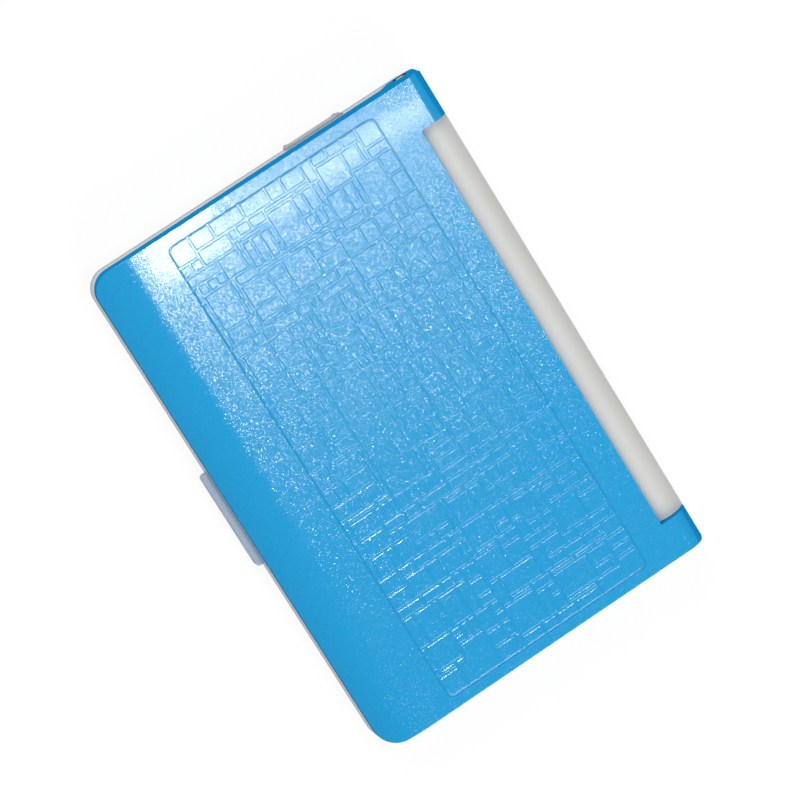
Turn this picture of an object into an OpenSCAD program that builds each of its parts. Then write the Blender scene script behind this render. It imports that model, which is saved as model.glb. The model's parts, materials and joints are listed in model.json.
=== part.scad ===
// Pocket electronic dictionary: a clamshell with a screen in the lid and a keyboard in the base.
// Millimetres, +Z up, closed and standing on its feet. The hinge is at the back (+Y), the latch
// tab at the front (-Y) and the port cover on the left (-X). The origin is the centre of the
// closed object's footprint, on the surface that it stands on.

/* [Case] */
// Width across the side walls
case_w = 126; // [124:1:134]
// Depth from the front edge to the back of the hinge
case_d = 88; // [88:1:96]
// Height of the base from its underside to its rim
base_h = 8; // [8:0.1:9]
// Height of the lid's side wall at the hinge
lid_h = 8.5; // [8.3:0.1:10]
// Gap between the closed lid and the base rim
lid_gap = 0.3; // [0.2:0.05:0.4]
// Thickness of the moulded walls
wall = 1.6; // [1.4:0.1:1.8]
// Thickness of the base's floor
floor_t = 1.4; // [1.2:0.1:1.6]
// Height of the joint between the base's two halves above its underside
split_h = 4.4; // [4.2:0.1:4.8]
// Depth of the lip by which the upper half fits inside the lower one
lip_h = 1; // [0.6:0.1:1.2]
// Corner radius at the front, seen from above
front_corner_r = 5; // [4:0.5:7]
// Corner radius of the lid at the back, seen from above
lid_back_r = 1.5; // [1:0.1:2]
// Corner radius of the base at the back, seen from above
base_back_r = 3.4; // [3:0.1:4]
// Rounding of the base's bottom edge
edge_r = 2.6; // [1.5:0.1:2.8]
// General clearance between fixed pieces that fit into each other
fit_gap = 0.1; // [0.05:0.05:0.15]
// Clearance around pieces that move
run_gap = 0.3; // [0.25:0.05:0.35]

/* [Lid shape] */
// Fall of the lid's crown from the hinge to the front roll
lid_fall = 2.2; // [1:0.1:2.4]
// Radius of the roll at the front of the lid
front_roll_r = 18; // [17:0.5:24]
// Distance from the front edge to the start of the roll
front_roll_len = 11; // [8:0.5:11.5]
// Radius of the roll at the back of the lid
back_roll_r = 5; // [4.5:0.1:5.4]
// Distance from the framed panel on the lid to the side walls
panel_side = 2.65; // [2.5:0.05:13]
// Distance from the framed panel to the front edge
panel_front = 17.8; // [16:0.1:32]
// Corner radius of the framed panel
panel_r = 1.7; // [1:0.1:4]
// Distance from the framed panel to the back of the hinge
panel_back = 15.4; // [14:0.1:20]
// Width of the bare name field
field_w = 29; // [20:0.5:40]
// Depth of the bare name field
field_d = 9.9; // [6:0.1:12]
// Distance from the name field's centre to the back of the hinge
field_back = 51.9; // [45:0.1:56]
// Width of the groove around the panel and the name field
groove_w = 0.25; // [0.2:0.05:0.6]
// Depth of that groove
groove_t = 0.1; // [0.06:0.01:0.3]

/* [Hinge] */
// Radius of the hinge barrel and of the lid's round ears
barrel_r = 4.6; // [4.4:0.1:4.8]
// Length of the lid's left ear
ear_left = 11.5; // [9:0.1:14]
// Length of the lid's right ear
ear_right = 8.8; // [8:0.1:14]
// Height of the hinge axis above the base rim
hinge_rise = 2.2; // [2:0.1:2.5]
// Distance from the back of the hinge to the lid's edge in front of the barrel
cutout_back = 8; // [7.7:0.1:8.3]
// Height by which each ear's end stands out of the side wall
ear_cap = 0.4; // [0.2:0.1:0.8]
// Side play between the barrel's ends and the ears
ear_play = 0.1; // [0.05:0.05:0.3]
// Distance from the side walls to the middle of the barrel's feet
cradle_side = 26; // [20:0.5:34]
// Length of each of the barrel's feet
cradle_len = 6; // [4:0.5:8]
// Thickness of the barrel's feet
cradle_t = 2.4; // [1.6:0.1:3]
// Radius of the steel hinge pins
pin_r = 1.5; // [1:0.1:1.8]
// Radial clearance of the pins in the clutch and the bush
pin_fit = 0.05; // [0.02:0.01:0.08]
// Radius of the friction clutch and of the bush
clutch_r = 3.1; // [2.6:0.1:3.3]
// Length of the friction clutch
clutch_len = 16; // [12:1:22]
// Length of the bush
bush_len = 8; // [6:1:12]
// Largest opening angle of the lid
open_angle = 145; // [90:1:145]

/* [Screen] */
// Distance from the display module to the side walls
lcd_side = 11; // [10:0.5:18]
// Distance from the display module to the front edge
lcd_front = 12; // [11.5:0.5:24]
// Thickness of the display module
lcd_t = 2.8; // [2:0.1:3]
// Distance from the display module to the back of the hinge
lcd_back = 14; // [13:0.5:16]
// Width of the border that hides the edge of the module
lcd_border = 4.2; // [3:0.1:6]
// Thickness of the lid's inner frame
bezel_t = 1.4; // [1.2:0.1:1.6]
// Thickness of the clear window
window_t = 0.7; // [0.5:0.1:0.8]
// Width of the ledge that the clear window is glued to
window_ledge = 3.2; // [2:0.1:3.4]

/* [Keyboard] */
// Distance from the side walls to the outer keys
keys_side = 7.45; // [7:0.05:8.5]
// Distance from the last row's back to the back of the hinge
keys_back = 39.2; // [38.6:0.1:40.5]
// Gap between neighbouring keys along a row
key_gap_x = 1.9; // [1.7:0.05:2.5]
// Gap between neighbouring rows
key_gap_y = 2.4; // [2.2:0.05:3]
// Corner radius of a key
key_r = 1.6; // [0.8:0.1:2]
// Travel of a key
key_travel = 0.6; // [0.4:0.05:0.6]
// Clearance around a key in its opening
key_fit = 0.2; // [0.15:0.01:0.25]
// Distance from the key tops down from the base rim
key_drop = 0.3; // [0.2:0.05:0.5]
// Height of the crown across the key tops
key_crown = 0.4; // [0.2:0.05:0.7]
// Depth of the recess around the keys below the rim
tray_drop = 1.4; // [1.2:0.05:1.5]
// Thickness of the plate that the keys stand in
plate_t = 1.2; // [1:0.05:1.3]
// Margin between the outer keys and the edge of the recess
tray_margin = 0.9; // [0.8:0.05:1.1]
// Distance from the front edge to the first row's front
keys_front = 8.8; // [8.7:0.1:9.2]
// Depth of the function bay
bay_d = 13; // [11:0.1:14]
// Width of the page rocker
rocker_w = 14; // [11:0.5:14]
// Gap between the page rocker's opening and the power key
rocker_side = 1.2; // [1:0.1:2.5]
// Tilt of the page rocker to each side
rocker_tilt = 4; // [2:0.5:5]

/* [Electronics] */
// Thickness of the main board
board_t = 0.8; // [0.6:0.1:1]
// Height of the main board above the inside of the floor
board_rise = 0.6; // [0.5:0.1:0.7]
// Thickness of the rubber key mat
mat_t = 0.6; // [0.4:0.05:0.7]
// Height of the domes on the key mat
dome_h = 0.45; // [0.3:0.05:0.5]
// Distance from the battery to the sides of the battery door
cell_side = 2; // [1.5:0.1:8]
// Depth of the battery
cell_d = 24.6; // [20:0.1:24.8]
// Thickness of the battery
cell_t = 4.4; // [3.6:0.1:4.6]
// Radius of the loudspeaker
speaker_r = 8; // [6:0.5:8]
// Thickness of the loudspeaker
speaker_t = 3.4; // [2.6:0.1:3.6]
// Distance from the left wall to the loudspeaker's centre
speaker_in = 23; // [22:0.5:24]
// Distance from the back of the hinge to the loudspeaker's centre
speaker_back = 23.5; // [21:0.5:25]

/* [Battery door] */
// Distance from the side walls to the battery door
door_side = 34; // [33:0.5:35]
// Distance from the back of the case to the door's front edge
door_len = 37; // [36.5:0.1:37.4]
// Thickness of the door
door_t = 1.2; // [1:0.1:1.3]
// Width of the tongues that guide the door
door_tongue = 1; // [0.6:0.1:1.4]
// Height of the door's rear lip
door_lip_h = 3.6; // [2.6:0.1:3.8]
// Travel of the door until it comes off
door_travel = 34; // [10:1:34]

/* [Side ports] */
// Distance from the port cover's back end to the back of the hinge
port_back = 19.1; // [18.8:0.1:20]
// Length of the port cover
port_len = 14.7; // [14.7:0.1:16]
// Height of the port cover
port_h = 5; // [4.8:0.1:5.2]
// Thickness of the port cover
port_t = 1.1; // [1:0.1:1.3]
// Depth by which the port cover stands out of the wall
port_proud = 0.45; // [0.3:0.05:0.8]
// Depth by which the finger nub and the knuckle stand out further
nub_proud = 0.25; // [0.1:0.05:0.3]
// Length of the finger nub
nub_len = 1.9; // [1.2:0.1:3]
// Opening angle of the port cover
port_angle = 100; // [60:5:110]

/* [Latch] */
// Width of the latch tab
tab_w = 24.2; // [20:0.1:30]
// Height of the latch tab
tab_h = 3.4; // [2.6:0.1:3.6]
// Depth by which the latch tab stands out of the front
tab_out = 1.7; // [1.2:0.1:2.2]
// Travel of the latch tab
tab_travel = 0.8; // [0.5:0.05:0.8]

/* [Fasteners and feet] */
// Distance from the side walls to the feet's centres
foot_side = 13; // [9:0.5:20]
// Distance from the front edge to the front feet's centres
foot_front = 11; // [9:0.5:16]
// Distance from the back of the base's hollow to the rear feet's centres
foot_back = 6; // [5.5:0.5:8]
// Height of the feet under the base
foot_h = 0.6; // [0.4:0.1:1]
// Radius of a foot
foot_r = 4; // [3:0.5:5]
// Length of the lid's screws under their heads
lid_screw_len = 2.6; // [2:0.1:2.7]
// Radius of the screws' shanks
screw_r = 0.9; // [0.8:0.05:1]
// Radius of the screws' heads
head_r = 1.8; // [1.5:0.1:1.9]
// Radius of the lid's rubber bumpers
bumper_r = 2.5; // [2.1:0.1:2.7]

/* [Hidden] */
$fn = 48;
eps = 0.01;

// Heights, from the surface that the object stands on
under_z = foot_h;
floor_z = under_z + floor_t;
split_z = under_z + split_h;
rim_z = under_z + base_h;
lid_z = rim_z + lid_gap;
top_z = lid_z + lid_h;

// Main planes, from the middle of the case
side_x = case_w / 2;
front_y = -case_d / 2;
back_y = case_d / 2;
base_back_y = back_y - run_gap;

// Hinge line
axis_y = back_y - barrel_r;
axis_z = rim_z + hinge_rise;
ear_in_l = -side_x + ear_left;
ear_in_r = side_x - ear_right;
barrel_l = ear_in_l + ear_play;
barrel_r_x = ear_in_r - ear_play;
// Circle swept clear under the ears: it grows towards the back, where the lid's crown passes
scoop_r = top_z - axis_z + run_gap;
scoop_y = axis_y + scoop_r - barrel_r - run_gap;
// Back ends of the hollows in the base and in the lid
base_cavity_y = scoop_y - scoop_r - wall;
lid_cavity_y = axis_y - barrel_r - run_gap - wall;

// The lid's crown is a plane that falls gently to the front
fall = lid_fall / (case_d - front_roll_len);
fall_angle = atan(fall);
function crown_z(y) = top_z - (back_y - y) * fall;

// Keyboard: columns from the left, rows from the back
column_count = 10;
row_count = 4;
pitch_x = (case_w - 2 * keys_side + key_gap_x) / column_count;
pitch_y = (case_d - keys_front - keys_back + key_gap_y) / row_count;
key_w = pitch_x - key_gap_x;
key_d = pitch_y - key_gap_y;
key_flange = 0.5;
key_shell = 1;
stem_r = 1.3;
key_top_z = rim_z - key_drop;
tray_z = rim_z - tray_drop;
plate_z = tray_z - plate_t;
flange_z = plate_z - fit_gap;
flange_t = 0.6;
row_front_y = front_y + keys_front + key_d / 2;
function key_x(col) = (col - (column_count - 1) / 2) * pitch_x;
function key_y(row) = row_front_y + (row_count - 1 - row) * pitch_y;
letter_rows = ["qwertyuiop", "asdfghjkl", "zxcvbnm"];
letter_start = [0, 0, 1];
// Each key is [name, column, row, columns covered, rows covered]
LETTERS = [for (r = [0 : 2]) for (c = [0 : len(letter_rows[r]) - 1])
    [str("key_", letter_rows[r][c]), c + letter_start[r], r, 1, 1]];
EXTRAS = [
    ["key_enter", 9, 1.5, 1, 2],
    ["key_shift", 0, 2, 1, 1],
    ["key_up", 8, 2, 1, 1],
    ["key_back", 0.5, 3, 2, 1],
    ["key_space", 4, 3, 5, 1],
    ["key_left", 7, 3, 1, 1],
    ["key_down", 8, 3, 1, 1],
    ["key_right", 9, 3, 1, 1],
];
KEYS = concat(LETTERS, EXTRAS);

// Edges of the recess around the keys, and of the function bay behind it
tray_x = key_x(column_count - 1) + key_w / 2 + tray_margin + key_flange;
tray_front_y = key_y(row_count - 1) - key_d / 2 - key_flange;
tray_back_y = key_y(0) + key_d / 2 + key_flange + tray_margin / 2;
rocker_gap = 0.5;
bay_w = 2 * tray_margin + key_flange + key_w + rocker_side + rocker_w + rocker_gap;
bay_x = tray_x - bay_w;
bay_back_y = tray_back_y + bay_d;
bay_key_d = 6;
bay_key_y = bay_back_y - bay_d / 2;
power_x = tray_x - tray_margin - key_flange - key_w / 2;
rocker_x = bay_x + tray_margin + rocker_gap + rocker_w / 2;
rocker_pivot_z = plate_z - 0.4;
rocker_pivot_r = 0.8;

// The framed panel, the display module, the door and the battery fit between the case's edges
panel_w = case_w - 2 * panel_side;
panel_d = case_d - panel_front - panel_back;
lcd_w = case_w - 2 * lcd_side;
lcd_d = case_d - lcd_front - lcd_back;
door_w = case_w - 2 * door_side;
cell_w = door_w - 2 * cell_side;

// Electronics
board_z = floor_z + board_rise;
mat_z = board_z + board_t;
cell_back_y = base_cavity_y - 0.5;
cell_front_y = cell_back_y - cell_d;
bay_rib_t = 1;
rail_in = cell_w / 2 + fit_gap;
rail_out = door_w / 2 + door_tongue + 0.4;
speaker_x = -side_x + speaker_in;
speaker_y = back_y - speaker_back;
port_end_y = back_y - port_back;
port_y = port_end_y - port_len;
port_z = (under_z + rim_z) / 2 + 0.4;
pivot_y = port_y + port_t / 2;
pivot_x = -side_x - port_proud + port_t / 2;
usb_w = 7.7;
usb_h = 3.9;
usb_len = 9;
usb_y = port_y + 4.7;
jack_y = port_end_y - 3;
jack_nose_r = 2.2;
jack_bore_r = 1.75;
jack_len = 10.4;
board_ribs = 4;
rib_step = 2 * tray_x / board_ribs;

// Latch
tab_z = rim_z - wall - tab_h;
wall_in_y = front_y + wall;
stop_y = wall_in_y + fit_gap;
stop_t = 0.6;
hook_y = stop_y + stop_t + tab_travel + 0.2;
hook_t = 0.7;
nose = 0.5;
bar_y = hook_y + hook_t + nose + run_gap;
bar_t = 0.7;
bar_z = tray_z - 1.2;
hook_half = 3;
bar_half = 5.2;
spring_r = 1;
spring_x = 9;
spring_len = 1.6;

// Screws, as [x, y]
base_boss_x = side_x - wall - 3.8;
front_boss_y = front_y + wall + 3.2;
back_boss_y = base_cavity_y - 3.6;
inner_boss_x = door_w / 2 + door_tongue + 3;
BASE_SCREWS = [for (s = [-1, 1]) each [[s * base_boss_x, front_boss_y],
    [s * base_boss_x, back_boss_y], [s * inner_boss_x, back_boss_y]]];
lid_boss_x = side_x - wall - 4.2;
LID_SCREWS = [for (s = [-1, 1]) each [[s * lid_boss_x, front_y + front_roll_len - 3.5],
    [s * lid_boss_x, lid_cavity_y - 5]]];
foot_x = side_x - foot_side;
FEET = [for (x = [-foot_x, foot_x]) for (y = [front_y + foot_front, base_cavity_y - foot_back]) [x, y]];
bumper_sink = 0.6;
head_t = 0.7;
lid_boss_r = 3;
base_boss_r = 2;

// The port cover and the tab stand out of the case, so the footprint's middle is not the case's
mid_x = (ear_cap - port_proud - nub_proud) / 2;
mid_y = -tab_out / 2;

// Colours, as the photograph shows them
pearl_blue = [0.20, 0.62, 0.84];
warm_white = [0.83, 0.83, 0.81];
pale_grey = [0.74, 0.78, 0.83];
key_grey = [0.88, 0.89, 0.90];
accent_blue = [0.24, 0.58, 0.80];
steel = [0.62, 0.63, 0.65];
dark = [0.12, 0.12, 0.13];
board_green = [0.10, 0.38, 0.24];
screen_dark = [0.13, 0.16, 0.17];
rubber_grey = [0.35, 0.36, 0.38];

// Moves a piece from the case's middle to the footprint's middle
module placed() {
    translate([-mid_x, -mid_y, 0]) children();
}

// Outline between y0 and y1 with its own corner radii at the front and at the back
module rounded_plan(w, y0, y1, r_front, r_back) {
    translate([-w / 2, y0 + r_front]) square([w, y1 - y0 - r_front - r_back]);
    translate([-w / 2 + r_front, y0]) square([w - 2 * r_front, r_front + eps]);
    translate([-w / 2 + r_back, y1 - r_back - eps]) square([w - 2 * r_back, r_back + eps]);
    for (s = [-1, 1]) {
        translate([s * (w / 2 - r_front), y0 + r_front]) circle(r_front);
        translate([s * (w / 2 - r_back), y1 - r_back]) circle(r_back);
    }
}

module rounded_rect(w, d, r) {
    rounded_plan(w, -d / 2, d / 2, r, r);
}

// Extrudes a side view, drawn as [y, z], between two planes across X
module along_x(x0, x1) {
    translate([x0, 0, 0]) rotate([90, 0, 90]) linear_extrude(x1 - x0) children();
}

// Cylinder on the hinge line
module on_axis(r, x0, x1) {
    translate([x0, axis_y, axis_z]) rotate([0, 90, 0]) cylinder(r = r, h = x1 - x0);
}

// Upright cylinder between two heights
module post(p, r, z0, z1) {
    translate([p[0], p[1], z0]) cylinder(r = r, h = z1 - z0);
}

// Box between two corners
module block(low, high) {
    translate(low) cube(high - low);
}

// Lays a flat drawing on the lid's sloping crown, measured from the back of the hinge
module on_crown(back, lift) {
    translate([0, back_y, top_z]) rotate([fall_angle, 0, 0]) translate([0, -back, lift]) children();
}

// Side view of the lid, thinner by t all round its outside. The rolls start a hair above the
// crown, so that each meets it at a clean edge.
module lid_side(t, y_end) {
    roll_r = front_roll_r - t;
    roll_y = front_y + front_roll_len + front_roll_r * sin(fall_angle);
    roll_z = crown_z(front_y + front_roll_len) - front_roll_r * cos(fall_angle) + eps;
    back_r = back_roll_r - t;
    turn_y = back_y - back_roll_r;
    turn_z = crown_z(turn_y) - back_roll_r / cos(fall_angle) + eps;
    drop = t / cos(fall_angle);
    difference() {
        polygon([[front_y + t, lid_z], [y_end, lid_z], [y_end, crown_z(y_end) - drop],
            [front_y + t, crown_z(front_y + t) - drop]]);
        translate([roll_y, roll_z]) rotate(fall_angle) difference() {
            translate([-2 * roll_r, 0]) square([2 * roll_r, 2 * roll_r]);
            circle(roll_r, $fn = 96);
        }
        translate([turn_y, turn_z]) difference() {
            translate([-back_r * sin(fall_angle), 0]) square(2 * back_r);
            circle(back_r);
        }
    }
}

// Side view of the whole lid: the shell and the round ear on the hinge line
module lid_outline() {
    difference() {
        lid_side(0, back_y - eps);
        translate([axis_y, lid_z - 1]) square([barrel_r + 1, axis_z - lid_z + 1]);
    }
    translate([axis_y, axis_z]) circle(barrel_r);
}

// Ring-shaped groove drawn as a rounded outline
module outline_groove(w, d, r) {
    linear_extrude(1) difference() {
        rounded_rect(w, d, r);
        rounded_rect(w - 2 * groove_w, d - 2 * groove_w, r - groove_w);
    }
}

module lid_cover() {
    color(pearl_blue) placed() difference() {
        union() {
            intersection() {
                along_x(-side_x - 1, side_x + 1) lid_outline();
                linear_extrude(top_z + 1)
                    rounded_plan(case_w, front_y, back_y + 0.1, front_corner_r, lid_back_r);
            }
            on_axis(barrel_r - 0.3, -side_x - ear_cap, side_x + ear_cap);
        }
        // Hollow of the shell
        intersection() {
            along_x(-side_x, side_x) translate([0, -eps]) lid_side(wall, lid_cavity_y);
            translate([0, 0, lid_z - 1]) linear_extrude(lid_h + 2) rounded_plan(case_w - 2 * wall,
                front_y + wall, lid_cavity_y, front_corner_r - wall, 1);
        }
        // Bay of the barrel between the ears
        block([ear_in_l, back_y - cutout_back, lid_z - 4], [ear_in_r, back_y + 1, top_z + 1]);
        on_axis(barrel_r + run_gap, ear_in_l, ear_in_r);
        // Sockets of the hinge pins
        on_axis(pin_r, -side_x + 1, ear_in_l + 1);
        on_axis(pin_r, ear_in_r - 1, side_x - 1);
        on_crown(panel_back + panel_d / 2, -groove_t) outline_groove(panel_w, panel_d, panel_r);
        on_crown(field_back, -groove_t) outline_groove(field_w, field_d, 1);
    }
    color(pearl_blue) placed() lid_bosses();
}

// Screw bosses under the lid's skin
module lid_bosses() {
    for (p = LID_SCREWS) difference() {
        post(p, lid_boss_r - 1, lid_z + bezel_t + head_t + 0.25, crown_z(p[1]) - wall + 0.4);
        post(p, screw_r, lid_z, lid_z + bezel_t + lid_screw_len + 0.2);
    }
}

module lid_bezel() {
    frame_w = case_w - 2 * wall - 2 * fit_gap;
    screen_y = back_y - lcd_back - lcd_d / 2;
    color(warm_white) placed() difference() {
        union() {
            translate([0, 0, lid_z]) linear_extrude(bezel_t) rounded_plan(frame_w,
                front_y + wall + fit_gap, lid_cavity_y - fit_gap, front_corner_r - wall - fit_gap, 1);
            // Rib around the display module
            translate([0, screen_y, lid_z + bezel_t - eps]) linear_extrude(1.4) difference() {
                rounded_rect(lcd_w + 2.4, lcd_d + 2.4, 1);
                square([lcd_w + 2 * fit_gap, lcd_d + 2 * fit_gap], center = true);
            }
            for (p = LID_SCREWS) post(p, lid_boss_r, lid_z + bezel_t - eps,
                lid_z + bezel_t + head_t + 0.2);
            latch_hook();
        }
        translate([0, screen_y, lid_z - 1]) linear_extrude(bezel_t + 2)
            rounded_rect(lcd_w - 2 * lcd_border, lcd_d - 2 * lcd_border, 1.5);
        translate([0, screen_y, lid_z - 1]) linear_extrude(window_t + 1 + fit_gap)
            rounded_rect(window_w() + 2 * fit_gap, window_d() + 2 * fit_gap, 2 + fit_gap);
        for (p = LID_SCREWS) {
            post(p, bumper_r, lid_z - 1, lid_z + bumper_sink);
            post(p, head_r + fit_gap, lid_z, lid_z + bezel_t);
            post(p, screw_r + fit_gap, lid_z, lid_z + bezel_t + 2);
        }
    }
}

// The clear window covers the opening and the ledge around it
function window_w() = lcd_w - 2 * lcd_border + 2 * window_ledge;
function window_d() = lcd_d - 2 * lcd_border + 2 * window_ledge;

// Catch that hangs from the lid into the base
module latch_hook() {
    nose_z = bar_z - fit_gap;
    along_x(-hook_half, hook_half) polygon([[hook_y, lid_z + eps], [hook_y, nose_z - 0.9],
        [hook_y + hook_t, nose_z - 0.9], [hook_y + hook_t + nose, nose_z - 0.4],
        [hook_y + hook_t + nose, nose_z], [hook_y + hook_t, nose_z], [hook_y + hook_t, lid_z + eps]]);
}

module screen_window() {
    color([0.7, 0.8, 0.85, 0.45]) placed()
        translate([0, back_y - lcd_back - lcd_d / 2, lid_z + fit_gap])
        linear_extrude(window_t) rounded_rect(window_w(), window_d(), 2);
}

module display_module() {
    rim = lcd_border - 1;
    ledge_side = 8;
    ledge_d = 5;
    ledge_t = 0.8;
    z0 = lid_z + bezel_t;
    color(screen_dark) placed() translate([0, back_y - lcd_back - lcd_d / 2, z0]) difference() {
        linear_extrude(lcd_t) square([lcd_w, lcd_d], center = true);
        // The metal frame stands proud of the glass on the viewing side
        translate([0, 0, -1]) linear_extrude(1.3)
            square([lcd_w - 2 * rim, lcd_d - 2 * rim], center = true);
        // Ledge of the driver chips along the back edge
        translate([-lcd_w / 2 + ledge_side, lcd_d / 2 - ledge_d, lcd_t - ledge_t])
            cube([lcd_w - 2 * ledge_side, ledge_d + 1, ledge_t + 1]);
    }
}

module lid_bumpers() {
    color(rubber_grey) placed() for (p = LID_SCREWS) {
        post(p, bumper_r, lid_z - lid_gap / 2, lid_z + bumper_sink);
    }
}

// Pan-head screw with a cross recess, its seat at z
module screw(p, z, length) {
    difference() {
        union() {
            post(p, head_r, z - head_t, z);
            post(p, screw_r, z - eps, z + length);
        }
        for (a = [0, 90]) translate([p[0], p[1], z - head_t]) rotate(a)
            cube([2 * head_r * 0.6, 0.4, 0.7], center = true);
    }
}

module lid_screws() {
    color(steel) placed() for (p = LID_SCREWS) screw(p, lid_z + bezel_t, lid_screw_len);
}

module hinge_pins() {
    color(steel) placed() {
        on_axis(pin_r, -side_x + 1, barrel_l + clutch_len * 0.7);
        on_axis(pin_r, barrel_r_x - bush_len, side_x - 1);
    }
}

// Feet by which the barrel is held in the base
module barrel_feet(grow) {
    half = cradle_len / 2 + grow;
    for (x = [cradle_side - side_x, side_x - cradle_side])
        block([x - half, axis_y - cradle_t / 2 - grow, split_z - 1.4 - grow],
            [x + half, axis_y + cradle_t / 2 + grow, axis_z - barrel_r + 0.4]);
}

module hinge_barrel() {
    color(warm_white) placed() difference() {
        union() {
            on_axis(barrel_r, barrel_l, barrel_r_x);
            barrel_feet(0);
        }
        on_axis(clutch_r, barrel_l - 1, barrel_l + clutch_len);
        on_axis(clutch_r, barrel_r_x - bush_len, barrel_r_x + 1);
        // Duct of the display cable
        on_axis(pin_r, barrel_l, barrel_r_x);
    }
}

module hinge_clutch() {
    color(steel) placed() difference() {
        on_axis(clutch_r, barrel_l, barrel_l + clutch_len);
        on_axis(pin_r + pin_fit, barrel_l - 1, barrel_l + clutch_len * 0.7 + 0.3);
        // Flats that keep the can from turning show as two slots at its mouth
        for (s = [-1, 1]) translate([barrel_l - 1, axis_y - 0.4, axis_z + s * (clutch_r - 0.3) - 0.3])
            cube([2.5, 0.8, 0.6]);
    }
}

module hinge_bush() {
    color(steel) placed() difference() {
        on_axis(clutch_r, barrel_r_x - bush_len, barrel_r_x);
        on_axis(pin_r + pin_fit, barrel_r_x - bush_len - 1, barrel_r_x + 1);
    }
}

// Corner of the base: a post with a rounded foot
module base_corner(x, y, r) {
    translate([x, y, under_z]) rotate_extrude($fn = 64) {
        square([r - edge_r, split_h]);
        translate([0, edge_r]) square([r, split_h - edge_r]);
        intersection() {
            translate([r - edge_r, edge_r]) circle(edge_r, $fn = 32);
            square([r, edge_r + eps]);
        }
    }
}

// Outer body of the base's lower half
module lower_body() {
    hull() for (s = [-1, 1]) {
        base_corner(s * (side_x - front_corner_r), front_y + front_corner_r, front_corner_r);
        base_corner(s * (side_x - base_back_r), base_back_y - base_back_r, base_back_r);
    }
}

module base_plan(inset, y_end, r_end) {
    rounded_plan(case_w - 2 * inset, front_y + inset, y_end, front_corner_r - inset, r_end);
}

// Spaces that both halves of the base leave for the hinge
module hinge_spaces() {
    for (x = [[-side_x - 1, barrel_l], [barrel_r_x, side_x + 1]])
        translate([x[0], scoop_y, axis_z]) rotate([0, 90, 0])
            cylinder(r = scoop_r, h = x[1] - x[0], $fn = 96);
    on_axis(barrel_r + fit_gap / 2, barrel_l - eps, barrel_r_x + eps);
    barrel_feet(fit_gap);
}

// Openings of both halves for the side ports and for the latch tab
module port_spaces() {
    gap = run_gap - fit_gap;
    block([-side_x - 1, port_y - nub_proud - gap, port_z - port_h / 2 - gap],
        [-side_x - port_proud + port_t + nub_proud + gap, port_end_y + gap, port_z + port_h / 2 + gap]);
    block([-side_x - 1, usb_y - usb_w / 2 - fit_gap, port_z - usb_h / 2 - fit_gap],
        [-side_x + wall + 1, usb_y + usb_w / 2 + fit_gap, port_z + usb_h / 2 + fit_gap]);
    translate([-side_x - 1, jack_y, port_z]) rotate([0, 90, 0])
        cylinder(r = jack_nose_r + fit_gap, h = wall + 2);
    block([-tab_w / 2 - key_fit, front_y - 1, tab_z - key_fit],
        [tab_w / 2 + key_fit, wall_in_y + 1, tab_z + tab_h + key_fit]);
}

// Battery door with its tongues; grow adds the clearance of its slot, which is open at the back
module door_shape(grow) {
    y0 = back_y - door_len;
    tongue_end = grow > 0 ? back_y : back_y - 4;
    block([-door_w / 2 - grow, y0 - grow, under_z - 1],
        [door_w / 2 + grow, back_y, under_z + door_t + grow]);
    block([-door_w / 2 - door_tongue - grow, y0 + 1 - grow, under_z + door_t / 2 - grow],
        [door_w / 2 + door_tongue + grow, tongue_end, under_z + door_t + grow]);
    block([-door_w / 2 - grow, base_back_y - wall + 0.2 - grow, under_z],
        [door_w / 2 + grow, back_y, under_z + door_lip_h + grow]);
}

module bottom_case() {
    color(pale_grey) placed() difference() {
        union() {
            difference() {
                lower_body();
                translate([0, 0, floor_z]) linear_extrude(split_h) base_plan(wall, base_cavity_y, 1);
                // Rebate for the upper half's lip
                translate([0, 0, split_z - lip_h - fit_gap]) linear_extrude(split_h)
                    base_plan(wall / 2, base_cavity_y + wall / 2, 1);
            }
            for (p = BASE_SCREWS) post(p, base_boss_r + 0.4, floor_z - eps, split_z - lip_h / 2);
            // Ribs that carry the main board
            for (i = [0 : board_ribs - 1]) translate([(i - (board_ribs - 1) / 2) * rib_step, 0, 0])
                block([-0.5, front_y + wall + 4, floor_z - eps], [0.5, tray_back_y - 2, board_z]);
            // Walls of the battery bay, and the rails over the door's tongues
            bay_walls();
            for (s = [-1, 1]) block([min(s * rail_in, s * rail_out), back_y - door_len, floor_z - eps],
                [max(s * rail_in, s * rail_out), base_cavity_y + 1, board_z]);
        }
        hinge_spaces();
        port_spaces();
        intersection() {
            door_shape(fit_gap + 0.1);
            block([-side_x, front_y, under_z - 2], [side_x, back_y + 2, split_z]);
        }
        block([-cell_w / 2 - fit_gap, cell_front_y - fit_gap, under_z],
            [cell_w / 2 + fit_gap, cell_back_y + fit_gap, split_z + 4]);
        for (p = BASE_SCREWS) {
            post(p, head_r + fit_gap, under_z - 1, floor_z - 0.2);
            post(p, screw_r + fit_gap, under_z, split_z);
        }
        for (p = FEET) post(p, foot_r, under_z - 1, under_z + 0.4);
    }
}

module bay_walls() {
    y0 = cell_front_y - fit_gap;
    x0 = cell_w / 2 + fit_gap;
    top = min(plate_z - 0.2, floor_z + cell_t - 0.6);
    block([-x0 - bay_rib_t, y0 - bay_rib_t, floor_z - eps], [x0 + bay_rib_t, cell_back_y + fit_gap, top]);
}

// Outline of the recess around the keys, grown by g
module tray_outline(g) {
    translate([0, (tray_front_y + tray_back_y) / 2])
        rounded_rect(2 * (tray_x + g), tray_back_y - tray_front_y + 2 * g, 2 + g);
    translate([(bay_x + tray_x) / 2, (tray_front_y + bay_back_y) / 2])
        rounded_rect(bay_w + 2 * g, bay_back_y - tray_front_y + 2 * g, 2 + g);
}

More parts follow.
